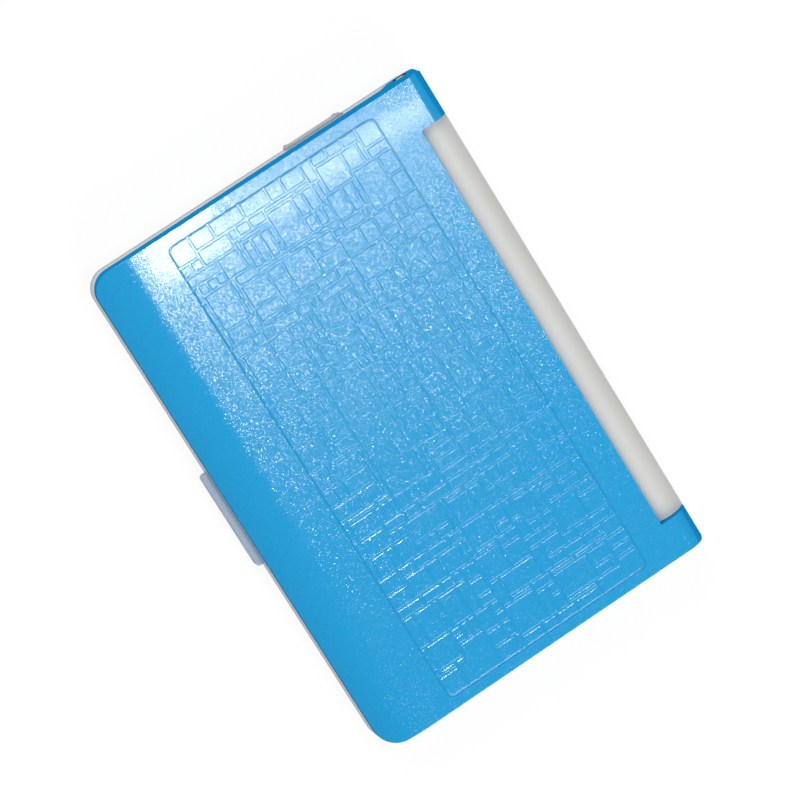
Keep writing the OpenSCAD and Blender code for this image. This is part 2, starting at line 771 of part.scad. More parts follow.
module keyboard_deck() {
    top_t = wall - 0.2;
    color(warm_white) placed() difference() {
        union() {
            difference() {
                translate([0, 0, split_z]) linear_extrude(rim_z - split_z)
                    base_plan(0, base_back_y, base_back_r);
                translate([0, 0, split_z - 1]) linear_extrude(rim_z - top_t - split_z + 1)
                    base_plan(wall, base_cavity_y, 1);
            }
            // Lip inside the lower half
            translate([0, 0, split_z - lip_h]) linear_extrude(lip_h + 0.5) difference() {
                base_plan(wall / 2 + fit_gap, base_cavity_y + wall / 2 - fit_gap, 1);
                base_plan(wall, base_cavity_y, 1);
            }
            // Sunken plate that the keys stand in
            translate([0, 0, plate_z]) linear_extrude(rim_z - plate_z - eps) tray_outline(1);
            for (p = BASE_SCREWS) post(p, base_boss_r, split_z - lip_h / 2, rim_z - top_t + eps);
            // Ring that holds the loudspeaker
            difference() {
                post([speaker_x, speaker_y], speaker_r + 1, rim_z - top_t - 1.2, rim_z - top_t + eps);
                post([speaker_x, speaker_y], speaker_r + fit_gap, rim_z - top_t - 2, rim_z - top_t);
            }
            // Stops behind the latch springs
            for (s = [-1, 1]) block([s * spring_x - 2, bar_y + run_gap, tab_z + 0.6],
                [s * spring_x + 2, bar_y + run_gap + 0.8, rim_z - top_t + eps]);
        }
        translate([0, 0, tray_z]) linear_extrude(rim_z) tray_outline(0);
        for (k = KEYS) key_opening(k);
        translate([power_x, bay_key_y, plate_z - 1]) linear_extrude(base_h)
            rounded_rect(key_w + 2 * key_fit, bay_key_d + 2 * key_fit, key_r + key_fit);
        translate([rocker_x, bay_key_y, plate_z - 1]) linear_extrude(base_h)
            rounded_rect(rocker_w + 2 * rocker_gap, bay_key_d + 2 * key_fit, key_r + key_fit);
        // Bearings of the page rocker, open below
        block([rocker_x - rocker_pivot_r - key_fit, bay_key_y - bay_key_d / 2 - 1.2, plate_z - 1],
            [rocker_x + rocker_pivot_r + key_fit, bay_key_y + bay_key_d / 2 + 1.2,
            rocker_pivot_z + rocker_pivot_r + key_fit]);
        hinge_spaces();
        // The wall behind the barrel is low, so that it has no sharp rim
        block([barrel_l - eps, axis_y, tray_z - 0.2], [barrel_r_x + eps, back_y, rim_z + 1]);
        port_spaces();
        // Slot that the lid's catch enters
        block([-hook_half - 0.6, hook_y - 0.5, split_z], [hook_half + 0.6, bar_y + 0.1, rim_z + 1]);
        // Way of the latch under the rim
        block([-tab_w / 2 - 1.6, wall_in_y, split_z - 2],
            [tab_w / 2 + 1.6, stop_y + stop_t + tab_travel + 0.2, rim_z - top_t]);
        for (p = BASE_SCREWS) post(p, screw_r, split_z - 2, rim_z - top_t + 0.4);
        grille();
    }
}

// Loudspeaker slots, longer towards the middle
module grille() {
    slot_w = 0.9;
    step = 2;
    for (i = [-3 : 3]) {
        half = sqrt(pow(speaker_r - 1, 2) - pow(i * step, 2));
        translate([speaker_x + i * step, speaker_y, rim_z - wall - 1]) linear_extrude(wall + 3)
            rounded_rect(slot_w, 2 * half, slot_w / 2 - eps);
    }
}

function key_size(k) = [k[3] * pitch_x - key_gap_x, k[4] * pitch_y - key_gap_y];

module key_opening(k) {
    s = key_size(k);
    translate([key_x(k[1]), key_y(k[2]), plate_z - 1]) linear_extrude(base_h)
        rounded_rect(s[0] + 2 * key_fit, s[1] + 2 * key_fit, key_r + key_fit);
}

// Hollow key cap with a retaining flange, a crowned top and a stem over its dome. The crown's
// radius follows the cap's depth, so that a deep key's ends are no lower than the others'.
module cap(w, d) {
    z0 = flange_z - flange_t;
    crown_r = pow(d / 2, 2) / (2 * key_crown) + key_crown / 2;
    difference() {
        union() {
            translate([0, 0, z0]) linear_extrude(flange_t)
                rounded_rect(w + 2 * key_flange, d + 2 * key_flange, key_r);
            intersection() {
                translate([0, 0, z0]) linear_extrude(base_h) rounded_rect(w, d, key_r);
                translate([-w, 0, key_top_z - crown_r]) rotate([0, 90, 0])
                    cylinder(r = crown_r, h = 2 * w, $fn = 192);
            }
        }
        translate([0, 0, z0 - 1]) linear_extrude(key_top_z - key_shell - z0 + 0.6)
            rounded_rect(w - 2 * key_shell, d - 2 * key_shell, key_r - key_shell / 2);
    }
    post([0, 0], stem_r, z0, key_top_z - key_shell);
}

module key_cap(k) {
    s = key_size(k);
    letter = k[3] * k[4] == 1 && len(k[0]) == 5;
    color(letter ? key_grey : accent_blue) placed() translate([key_x(k[1]), key_y(k[2]), 0])
        cap(s[0], s[1]);
}

module key_power() {
    color(accent_blue) placed() translate([power_x, bay_key_y, 0]) cap(key_w, bay_key_d);
}

// Rocker with a page-back end and a page-forward end, on a pivot across its middle
module page_rocker() {
    color(accent_blue) placed() translate([rocker_x, bay_key_y, 0]) {
        intersection() {
            translate([0, 0, plate_z - 0.4]) linear_extrude(base_h) rounded_rect(rocker_w, bay_key_d, key_r);
            rotate([90, 0, 0]) translate([0, 0, -bay_key_d]) linear_extrude(2 * bay_key_d) polygon([
                [-rocker_w / 2, plate_z], [0, plate_z - 0.4], [rocker_w / 2, plate_z],
                [rocker_w / 2, key_top_z], [0, key_top_z - 0.35], [-rocker_w / 2, key_top_z]]);
        }
        translate([0, bay_key_d / 2 + 1, rocker_pivot_z]) rotate([90, 0, 0])
            cylinder(r = rocker_pivot_r, h = bay_key_d + 2);
    }
}

// Outline shared by the board and the key mat under the keys
module under_keys(margin) {
    y0 = tray_front_y + margin;
    difference() {
        union() {
            translate([-tray_x + margin, y0]) square([2 * (tray_x - margin), tray_back_y - y0]);
            translate([bay_x + margin, y0]) square([bay_w - 2 * margin, bay_back_y - y0 - margin]);
        }
        for (p = BASE_SCREWS) translate(p) circle(base_boss_r + 0.7);
    }
}

module key_mat() {
    color([0.80, 0.81, 0.82]) placed() {
        translate([0, 0, mat_z]) linear_extrude(mat_t) under_keys(0.4);
        for (k = KEYS) translate([key_x(k[1]), key_y(k[2]), mat_z + mat_t - eps])
            cylinder(r1 = 2.6, r2 = 1.8, h = dome_h);
        translate([power_x, bay_key_y, mat_z + mat_t - eps]) cylinder(r1 = 2.4, r2 = 1.6, h = dome_h);
        for (s = [-1, 1]) translate([rocker_x + s * rocker_w * 0.32, bay_key_y, mat_z + mat_t - eps])
            cylinder(r1 = 2, r2 = 1.4, h = dome_h / 2);
    }
}

module main_board() {
    wing_x = speaker_x - speaker_r - 0.8;
    chip_w = 10;
    chip_gap = 1.5;
    memory_w = 4.5;
    chip_x = (inner_boss_x + base_boss_x + chip_w - memory_w - chip_gap) / 2;
    chip_y = bay_back_y + 1.6;
    color(board_green) placed() {
        translate([0, 0, board_z]) linear_extrude(board_t) difference() {
            union() {
                under_keys(0);
                // Wing under the side ports, and the strip for the processor
                translate([-side_x + wall + 0.4, tray_back_y - 4])
                    square([wing_x + side_x - wall - 0.4, port_end_y + 6 - tray_back_y]);
                translate([bay_x + 1, tray_back_y - 4]) square([bay_w - 1, base_cavity_y + 2 - tray_back_y]);
            }
            // Cut-out in which the two sockets sit
            translate([-side_x, usb_y - usb_w / 2 - 0.4])
                square([wall + jack_len + 0.6, jack_y + 3.4 - usb_y + usb_w / 2 + 0.4]);
            for (p = BASE_SCREWS) translate(p) circle(base_boss_r + 0.8);
        }
        // Processor and memory
        block([chip_x - chip_w, chip_y, mat_z - eps], [chip_x, base_cavity_y - 3, mat_z + 1]);
        block([chip_x + chip_gap, chip_y + 0.6, mat_z - eps],
            [chip_x + chip_gap + memory_w, base_cavity_y - 8, mat_z + 1.2]);
    }
}

module battery() {
    r = cell_t / 2;
    color([0.55, 0.58, 0.62]) placed() translate([0, (cell_front_y + cell_back_y) / 2, floor_z]) {
        // Pouch with rounded long edges and a flat end that holds the protection board
        rotate([90, 0, 90]) translate([0, 0, -cell_w / 2 + 3]) linear_extrude(cell_w - 3) {
            translate([-cell_d / 2 + r, 0]) square([cell_d - 2 * r, cell_t]);
            for (s = [-1, 1]) translate([s * (cell_d / 2 - r), r]) circle(r);
        }
        translate([-cell_w / 2, -cell_d / 2 + 1, 0.3]) cube([3 + eps, cell_d - 2, cell_t - 0.6]);
    }
}

module battery_door() {
    color(pale_grey) placed() difference() {
        intersection() {
            lower_body();
            door_shape(0);
        }
        // Grip grooves near the rear edge
        for (i = [0 : 3]) translate([0, base_back_y - 7 - 1.8 * i, under_z - 0.1]) linear_extrude(0.5)
            rounded_rect(16 - 3 * i, 0.9, 0.4);
    }
}

module speaker() {
    top = rim_z - wall + 0.2 - fit_gap;
    color(dark) placed() difference() {
        union() {
            post([speaker_x, speaker_y], speaker_r, top - 1.4, top);
            post([speaker_x, speaker_y], speaker_r * 0.6, top - speaker_t, top - 1.4 + eps);
        }
        // Cone inside the frame
        translate([speaker_x, speaker_y, top - 0.9]) cylinder(r1 = 2, r2 = speaker_r - 0.9, h = 0.9 + eps);
    }
}

module usb_socket() {
    x0 = -side_x - port_proud + port_t + run_gap;
    color(steel) placed() {
        difference() {
            block([x0, usb_y - usb_w / 2, port_z - usb_h / 2], [x0 + usb_len, usb_y + usb_w / 2, port_z + usb_h / 2]);
            block([x0 - 1, usb_y - usb_w / 2 + 0.4, port_z - usb_h / 2 + 0.4],
                [x0 + usb_len - 2, usb_y + usb_w / 2 - 0.4, port_z + usb_h / 2 - 0.4]);
        }
        // Contact tongue, and the tab that is soldered to the board's wing
        block([x0 + 0.8, usb_y - 2.2, port_z - 0.4], [x0 + usb_len - 1.9, usb_y + 2.2, port_z + 0.4]);
        block([x0 + 3, usb_y - usb_w / 2 - 1.6, mat_z], [x0 + 6, usb_y - usb_w / 2 + eps, mat_z + 0.3]);
    }
}

module earphone_jack() {
    x0 = -side_x + wall + 0.2;
    half_h = 2.05;
    color(dark) placed() difference() {
        union() {
            block([x0, jack_y - 3, port_z - half_h], [x0 + jack_len, jack_y + 3, port_z + half_h]);
            translate([-side_x - port_proud + port_t + run_gap, jack_y, port_z]) rotate([0, 90, 0])
                cylinder(r = jack_nose_r, h = 2);
            // Solder tab on the board's wing
            block([x0 + 3, jack_y + 3 - eps, mat_z], [x0 + 6, jack_y + 4.4, mat_z + 0.3]);
        }
        translate([-side_x, jack_y, port_z]) rotate([0, 90, 0]) cylinder(r = jack_bore_r, h = jack_len);
    }
}

module port_cover() {
    r = port_t / 2;
    x0 = -side_x - port_proud;
    color(pale_grey) placed() translate([0, 0, port_z - port_h / 2]) {
        linear_extrude(port_h) {
            // Knuckle on the pivot, and the plate
            translate([pivot_x, pivot_y]) circle(r + nub_proud);
            translate([x0, pivot_y]) square([port_t, port_len - r - nub_len / 2 + eps]);
            translate([x0, port_end_y - nub_len / 2]) square([port_t, nub_len / 2]);
        }
        // Finger nub at the free end
        linear_extrude(port_h) intersection() {
            translate([x0 - nub_proud - 1, port_end_y - nub_len - 1]) square([port_t + 1, nub_len + 0.9]);
            translate([x0 - nub_proud + nub_len / 2, port_end_y - 0.1 - nub_len / 2]) circle(nub_len / 2);
        }
    }
}

// Latch: the tab outside, the stop behind the wall and the frame around the lid's catch
module latch_button() {
    flange_x = tab_w / 2 + 1.2;
    color(pale_grey) placed() {
        translate([0, 0, tab_z]) linear_extrude(tab_h)
            rounded_plan(tab_w, front_y - tab_out, stop_y + stop_t, 0.9, 0.1);
        block([-flange_x, stop_y, tab_z - 0.3], [flange_x, stop_y + stop_t, rim_z - wall + 0.1]);
        for (s = [-1, 1]) block([min(s * bar_half, s * (bar_half - 1)), stop_y, bar_z],
            [max(s * bar_half, s * (bar_half - 1)), bar_y + bar_t, rim_z - wall + 0.1]);
        block([-bar_half, bar_y, bar_z], [bar_half, bar_y + bar_t, rim_z - wall + 0.1]);
    }
}

// Two return springs behind the stop, drawn at their pressed length
module latch_springs() {
    color(steel) placed() for (s = [-1, 1]) translate([s * spring_x, stop_y + stop_t, tab_z + tab_h / 2])
        rotate([-90, 0, 0]) difference() {
            cylinder(r = spring_r, h = spring_len);
            translate([0, 0, -1]) cylinder(r = spring_r - 0.35, h = spring_len + 2);
        }
}

module rubber_feet() {
    color(rubber_grey) placed() for (p = FEET) {
        post(p, foot_r - 0.4, 0, 0.4);
        post(p, foot_r, 0.2, under_z + 0.4);
    }
}

module case_screws() {
    color(steel) placed() for (p = BASE_SCREWS) screw(p, floor_z - 0.2, rim_z - wall - floor_z);
}

lid_cover();
lid_bezel();
screen_window();
display_module();
lid_bumpers();
lid_screws();
hinge_pins();
hinge_barrel();
hinge_clutch();
hinge_bush();
bottom_case();
keyboard_deck();
key_mat();
main_board();
battery();
battery_door();
speaker();
usb_socket();
earphone_jack();
port_cover();
latch_button();
latch_springs();
rubber_feet();
case_screws();
key_power();
page_rocker();
for (k = KEYS) key_cap(k);
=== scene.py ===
"""Dressed model of a pocket electronic dictionary with a hinged lid and a small keyboard.

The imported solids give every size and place. This script adds the embossed panel, the printed
keys, softened edges and the finishes, and stands the object in a plain studio. All lengths
inside the classes are in millimetres and are turned to metres where a mesh is made.
"""

from __future__ import annotations

import json
import logging
import math
import random
from dataclasses import dataclass
from enum import Enum
from typing import Any, Sequence

import bmesh
import bpy
from bmesh.types import BMEdge, BMesh
from bpy.types import ID, Material, Node, NodeSocket, NodeTree, Object
from mathutils import Matrix, Vector

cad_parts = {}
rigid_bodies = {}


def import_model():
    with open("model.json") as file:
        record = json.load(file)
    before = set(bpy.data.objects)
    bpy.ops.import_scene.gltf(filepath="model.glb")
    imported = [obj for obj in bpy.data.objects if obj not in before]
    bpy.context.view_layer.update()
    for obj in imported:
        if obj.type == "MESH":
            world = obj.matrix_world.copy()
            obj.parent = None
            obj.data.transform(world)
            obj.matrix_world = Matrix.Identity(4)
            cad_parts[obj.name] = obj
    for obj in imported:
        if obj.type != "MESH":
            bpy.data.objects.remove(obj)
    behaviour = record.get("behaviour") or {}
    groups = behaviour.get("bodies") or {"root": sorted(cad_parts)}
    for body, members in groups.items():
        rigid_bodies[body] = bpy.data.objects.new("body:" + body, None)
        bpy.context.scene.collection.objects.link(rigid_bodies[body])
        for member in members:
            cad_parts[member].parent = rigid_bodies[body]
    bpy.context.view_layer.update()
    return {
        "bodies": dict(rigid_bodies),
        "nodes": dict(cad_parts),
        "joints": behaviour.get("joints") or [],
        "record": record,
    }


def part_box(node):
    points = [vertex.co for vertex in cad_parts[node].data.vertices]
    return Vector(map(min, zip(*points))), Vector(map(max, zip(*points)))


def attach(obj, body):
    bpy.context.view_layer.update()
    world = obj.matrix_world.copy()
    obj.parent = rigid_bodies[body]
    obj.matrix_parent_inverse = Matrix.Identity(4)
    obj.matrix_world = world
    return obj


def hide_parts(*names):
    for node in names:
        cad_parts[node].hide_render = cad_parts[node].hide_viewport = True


LOG = logging.getLogger("dictionary")
MM = 0.001
# The model's origin is the middle of the footprint, this far from the middle of the case
CASE_X = 0.15
CASE_Y = 0.85


def linear(colour: str) -> tuple[float, float, float, float]:
    """Turns an sRGB hex colour to linear values.

    Args:
        colour: six hex digits with a leading hash mark.

    Returns:
        Red, green, blue and an alpha of 1.
    """
    parts = [int(colour[i:i + 2], 16) / 255.0 for i in (1, 3, 5)]
    lin = [c / 12.92 if c <= 0.04045 else ((c + 0.055) / 1.055) ** 2.4 for c in parts]
    return (lin[0], lin[1], lin[2], 1.0)


def per_mm(size_mm: float) -> float:
    """Returns the texture scale at which one cell is size_mm wide on metre coordinates."""
    return 1.0 / (size_mm * MM)


def add_node(
    tree: NodeTree,
    kind: str,
    links: dict[str | int, NodeSocket] | None = None,
    values: dict[str | int, Any] | None = None,
    **settings: Any,
) -> Node:
    """Adds a shader node with its settings, values and links.

    Args:
        tree: node tree to add to.
        kind: node type name.
        links: input socket name or index to the output socket that feeds it.
        values: input socket name or index to its fixed value.
        settings: attributes of the node.

    Returns:
        The new node.
    """
    node = tree.nodes.new(kind)
    for name, value in settings.items():
        setattr(node, name, value)
    for key, value in (values or {}).items():
        node.inputs[key].default_value = value
    for key, socket in (links or {}).items():
        tree.links.new(socket, node.inputs[key])
    return node


def blank_material(name: str, values: dict[str, Any]) -> tuple[Material, NodeTree, Node]:
    """Makes a material that holds one Principled shader.

    Args:
        name: the material's plain name.
        values: the shader's fixed values, by the names of its inputs.

    Returns:
        The material, its node tree and the shader.
    """
    material = bpy.data.materials.new(name)
    material.use_nodes = True
    tree = material.node_tree
    tree.nodes.clear()
    shader = add_node(tree, "ShaderNodeBsdfPrincipled", values=values)
    add_node(tree, "ShaderNodeOutputMaterial", links={"Surface": shader.outputs["BSDF"]})
    return material, tree, shader


def object_place(tree: NodeTree) -> NodeSocket:
    """Returns the socket that gives each point's place on its own piece."""
    return add_node(tree, "ShaderNodeTexCoord").outputs["Object"]


def surface_bump(
    tree: NodeTree, shader: Node, grain_mm: float, height_mm: float, detail: float = 3.0
) -> Node:
    """Gives a shader the fine relief of a moulded or cast surface.

    Args:
        tree: the material's node tree.
        shader: shader whose normal is fed.
        grain_mm: width of one grain.
        height_mm: depth of the relief.
        detail: octaves of the noise.

    Returns:
        The noise node, so that a colour can follow the same grain.
    """
    noise = add_node(
        tree, "ShaderNodeTexNoise", links={"Vector": object_place(tree)},
        values={"Scale": per_mm(grain_mm), "Detail": detail, "Roughness": 0.55},
    )
    bump = add_node(
        tree, "ShaderNodeBump", links={"Height": noise.outputs["Fac"]},
        values={"Strength": 1.0, "Distance": height_mm * MM},
    )
    tree.links.new(bump.outputs["Normal"], shader.inputs["Normal"])
    return noise


def vary_colour(tree: NodeTree, shader: Node, share: NodeSocket, low: str, high: str) -> None:
    """Lets a shader's colour run between two tones.

    Args:
        tree: the material's node tree.
        shader: shader to colour.
        share: socket that goes from 0 at the first tone to 1 at the second.
        low: the first tone, as a hex colour.
        high: the second tone.
    """
    tone = add_node(
        tree, "ShaderNodeMix", links={"Factor": share},
        values={6: linear(low), 7: linear(high)}, data_type="RGBA",
    )
    tree.links.new(tone.outputs[2], shader.inputs["Base Color"])


def vary_roughness(
    tree: NodeTree, shader: Node, share: NodeSocket, low: float, high: float
) -> None:
    """Lets a shader's roughness run between two values.

    Args:
        tree: the material's node tree.
        shader: shader to change.
        share: socket that goes from 0 at the first value to 1 at the second.
        low: the first value.
        high: the second value.
    """
    rough = add_node(
        tree, "ShaderNodeMapRange", links={"Value": share}, values={"To Min": low, "To Max": high}
    )
    tree.links.new(rough.outputs["Result"], shader.inputs["Roughness"])


@dataclass(frozen=True)
class PearlLacquer:
    """Mica pearl basecoat under clear lacquer, sprayed on moulded ABS.

    The mica gives a broad pale sheen that sparkles where it is bright, and the lacquer a gloss over
    it. On the walls the coat is drawn in a darker blue without gloss, which is painted shade.
    """

    name: str
    deep: str = "#0C99D5"
    light: str = "#11A3DB"
    # A mica fleck is about 0.05 mm wide; it is drawn coarser so that the render shows it
    fleck_mm: float = 0.18
    # Largest lean of a fleck, as the share of its normal that points sideways
    tilt: float = 0.15
    roughness: float = 0.17
    spread: float = 0.03
    drift_mm: float = 1.3
    specular: float = 0.8
    coat: float = 0.3
    gloss: float = 0.06

    def build(self) -> Material:
        """Returns the material."""
        material, tree, shader = blank_material(self.name, {
            "Specular IOR Level": self.specular, "Coat Weight": self.coat,
            "Coat Roughness": self.gloss, "Coat IOR": 1.5,
        })
        place = object_place(tree)
        cells = add_node(
            tree, "ShaderNodeTexVoronoi", links={"Vector": place},
            values={"Scale": per_mm(self.fleck_mm), "Randomness": 1.0},
        )
        drift = add_node(
            tree, "ShaderNodeTexNoise", links={"Vector": place},
            values={"Scale": per_mm(self.drift_mm), "Detail": 2.0},
        )
        parts = add_node(tree, "ShaderNodeSeparateColor", links={"Color": cells.outputs["Color"]})
        # Each fleck lies at its own small angle in the coat, and most of them lie nearly flat
        vector = "ShaderNodeVectorMath"
        centred = add_node(
            tree, vector, {0: cells.outputs["Color"]}, {1: (0.5, 0.5, 0.5)}, operation="SUBTRACT"
        )
        lean = add_node(
            tree, "ShaderNodeMath", {0: parts.outputs["Blue"]}, {1: 2.0 * self.tilt},
            operation="MULTIPLY",
        )
        tilted = add_node(
            tree, vector, {0: centred.outputs[0], "Scale": lean.outputs[0]}, operation="SCALE"
        )
        face = add_node(tree, "ShaderNodeNewGeometry").outputs["Normal"]
        summed = add_node(tree, vector, {0: face, 1: tilted.outputs[0]}, operation="ADD")
        normal = add_node(tree, vector, {0: summed.outputs[0]}, operation="NORMALIZE")
        low, high = self.roughness - self.spread, self.roughness + self.spread
        vary_colour(tree, shader, parts.outputs["Red"], self.deep, self.light)
        vary_roughness(tree, shader, drift.outputs["Fac"], low, high)
        tree.links.new(normal.outputs[0], shader.inputs["Normal"])
        return material


@dataclass(frozen=True)
class MouldedPlastic:
    """Injection-moulded plastic with the fine texture of a spark-eroded tool.

    The grain breaks the highlight into a soft satin, and the colour runs through the material.
    """

    name: str
    colour: str
    shade: str
    roughness: float = 0.42
    spread: float = 0.05
    grain_mm: float = 0.18
    height_mm: float = 0.006
    cloud_mm: float = 9.0
    flake: float = 0.0
    translucency: float = 0.0
    # How far red, green and blue light travel inside the material
    scatter_mm: tuple[float, float, float] = (0.9, 1.0, 1.1)

    def build(self) -> Material:
        """Returns the material."""
        values = {"Metallic": self.flake, "IOR": 1.53}
        if self.translucency:
            values["Subsurface Weight"] = self.translucency
            values["Subsurface Radius"] = [r * MM for r in self.scatter_mm]
            values["Subsurface Scale"] = 1.0
        material, tree, shader = blank_material(self.name, values)
        noise = surface_bump(tree, shader, self.grain_mm, self.height_mm)
        cloud = add_node(
            tree, "ShaderNodeTexNoise", links={"Vector": object_place(tree)},
            values={"Scale": per_mm(self.cloud_mm), "Detail": 3.0},
        )
        low, high = self.roughness - self.spread, self.roughness + self.spread
        vary_colour(tree, shader, cloud.outputs["Fac"], self.shade, self.colour)
        vary_roughness(tree, shader, noise.outputs["Fac"], low, high)
        return material


@dataclass(frozen=True)
class PlatedMetal:
    """Thin plating on turned or pressed metal.

    Faint tool marks break its mirror, and darker spots show where the plating has aged.
    """

    name: str
    colour: str
    stain: str
    roughness: float = 0.28
    mark_mm: float = 0.12
    depth_mm: float = 0.002

    def build(self) -> Material:
        """Returns the material."""
        material, tree, shader = blank_material(self.name, {"Metallic": 1.0})
        noise = surface_bump(tree, shader, self.mark_mm, self.depth_mm, detail=4.0)
        share = noise.outputs["Fac"]
        vary_colour(tree, shader, share, self.stain, self.colour)
        vary_roughness(tree, shader, share, self.roughness + 0.1, self.roughness - 0.05)
        return material


@dataclass(frozen=True)
class ClearAcrylic:
    """Cast acrylic with a hard coat: clear, glossy and faintly grey."""

    name: str = "hard-coated acrylic"
    tint: str = "#F4F8F8"
    # The sheet waves a little over this width and by this height
    wave_mm: float = 14.0
    height_mm: float = 0.004

    def build(self) -> Material:
        """Returns the material."""
        material, tree, shader = blank_material(self.name, {
            "Base Color": linear(self.tint), "Transmission Weight": 1.0, "IOR": 1.49,
        })
        noise = surface_bump(tree, shader, self.wave_mm, self.height_mm, detail=1.0)
        vary_roughness(tree, shader, noise.outputs["Fac"], 0.015, 0.04)
        return material


@dataclass(frozen=True)
class LiquidCrystal:
    """Reflective liquid crystal behind a polariser: grey-green, with its fine grid of dots."""

    name: str = "reflective liquid crystal"
    ground: str = "#8E9A8B"
    line: str = "#7C887A"
    dot_mm: float = 0.33
    # Share of a dot's width that the line beside it takes
    line_share: float = 0.06

    def build(self) -> Material:
        """Returns the material."""
        material, tree, shader = blank_material(
            self.name, {"Roughness": 0.3, "Coat Weight": 0.6, "Coat Roughness": 0.2}
        )
        dots = add_node(
            tree, "ShaderNodeTexBrick", links={"Vector": object_place(tree)},
            values={
                "Color1": linear(self.ground), "Color2": linear(self.ground),
                "Mortar": linear(self.line), "Scale": per_mm(1.0),
                "Mortar Size": self.dot_mm * self.line_share, "Mortar Smooth": 0.2,
                "Brick Width": self.dot_mm, "Row Height": self.dot_mm,
            },
            offset=0.0, squash=1.0,
        )
        tree.links.new(dots.outputs["Color"], shader.inputs["Base Color"])
        return material


@dataclass(frozen=True)
class SolderMask:
    """Green solder mask on a glass-fibre board, with copper tracks showing darker below it."""

    name: str = "solder mask on glass fibre"
    mask: str = "#1C6B45"
    track: str = "#145236"
    track_mm: tuple[float, float] = (4.2, 0.5)
    gap_mm: float = 0.12
    height_mm: float = 0.02

    def build(self) -> Material:
        """Returns the material."""
        material, tree, shader = blank_material(self.name, {"Roughness": 0.32})
        tracks = add_node(
            tree, "ShaderNodeTexBrick", links={"Vector": object_place(tree)},
            values={
                "Color1": linear(self.track), "Color2": linear(self.mask),
                "Mortar": linear(self.mask), "Scale": per_mm(1.0), "Mortar Size": self.gap_mm,
                "Mortar Smooth": 0.1, "Brick Width": self.track_mm[0],
                "Row Height": self.track_mm[1], "Bias": 0.1,
            },
        )
        bump = add_node(
            tree, "ShaderNodeBump", links={"Height": tracks.outputs["Fac"]},
            values={"Strength": 1.0, "Distance": self.height_mm * MM},
        )
        tree.links.new(tracks.outputs["Color"], shader.inputs["Base Color"])
        tree.links.new(bump.outputs["Normal"], shader.inputs["Normal"])
        return material


class Finish(Enum):
    """The finishes of the object, by the names that their materials carry."""

    LID_PAINT = PearlLacquer(name="pearl lacquer on ABS")
    PANEL_PAINT = PearlLacquer(name="pearl lacquer on textured ABS", fleck_mm=0.185, tilt=0.155)
    # Darker blue with no gloss for the walls and the ears' backs: painted shade
    SHADED_WALL_PAINT = PearlLacquer(
        name="pearl lacquer on ABS, wall coat with painted shade", deep="#0E8CCC", light="#1494D2", roughness=0.62,
        specular=0.0, coat=0.0,
    )
    WARM_WHITE = MouldedPlastic(
        name="moulded ABS, warm white", colour="#D2D1CC", shade="#CDCCC7", roughness=0.46
    )
    SILVER_BLUE = MouldedPlastic(
        name="moulded ABS, silver blue", colour="#A3B5C8", shade="#9CAFC3", roughness=0.5,
        flake=0.08,
    )
    SILVER_GREY = MouldedPlastic(
        name="moulded ABS, silver grey", colour="#B1B3B7", shade="#ABADB2", roughness=0.52,
        flake=0.08,
    )
    LETTER_KEY = MouldedPlastic(
        name="moulded ABS, key white", colour="#E6E8EA", shade="#DFE1E4", roughness=0.5
    )
    ACCENT_KEY = MouldedPlastic(
        name="moulded ABS, key blue", colour="#4BA3D6", shade="#4399CC", roughness=0.45
    )
    LEGEND = MouldedPlastic(
        name="pad-printed ink", colour="#2C3440", shade="#262D38", roughness=0.6,
        grain_mm=0.08, height_mm=0.002,
    )
    PALE_LEGEND = MouldedPlastic(
        name="pad-printed white ink", colour="#EEF4F8", shade="#E6EEF4", roughness=0.6,
        grain_mm=0.08, height_mm=0.002,
    )
    WINDOW = ClearAcrylic()
    WINDOW_PRINT = MouldedPlastic(
        name="screen-printed border", colour="#39424C", shade="#343D47", roughness=0.4,
        grain_mm=0.1, height_mm=0.001,
    )
    CRYSTAL = LiquidCrystal()
    RUBBER = MouldedPlastic(
        name="nitrile rubber", colour="#4A4D51", shade="#424549", roughness=0.75, grain_mm=0.12
    )
    SILICONE = MouldedPlastic(
        name="moulded silicone", colour="#D2D5D6", shade="#C8CCCE", roughness=0.6,
        translucency=0.4,
    )
    ZINC = PlatedMetal(name="zinc-plated steel", colour="#C9CCD0", stain="#A9ADB3")
    NICKEL = PlatedMetal(
        name="nickel-plated sheet", colour="#C8C5BD", stain="#ADA9A0", roughness=0.22
    )
    BRONZE = PlatedMetal(
        name="sintered bronze", colour="#A5794A", stain="#7E5A36", roughness=0.45, mark_mm=0.09
    )
    BOARD = SolderMask()
    BLACK = MouldedPlastic(
        name="moulded PBT, black", colour="#26272A", shade="#1F2023", roughness=0.5
    )
    FOIL = PlatedMetal(
        name="aluminium laminate foil", colour="#C4C8CC", stain="#B2B6BB", roughness=0.38,
        mark_mm=1.6,
    )


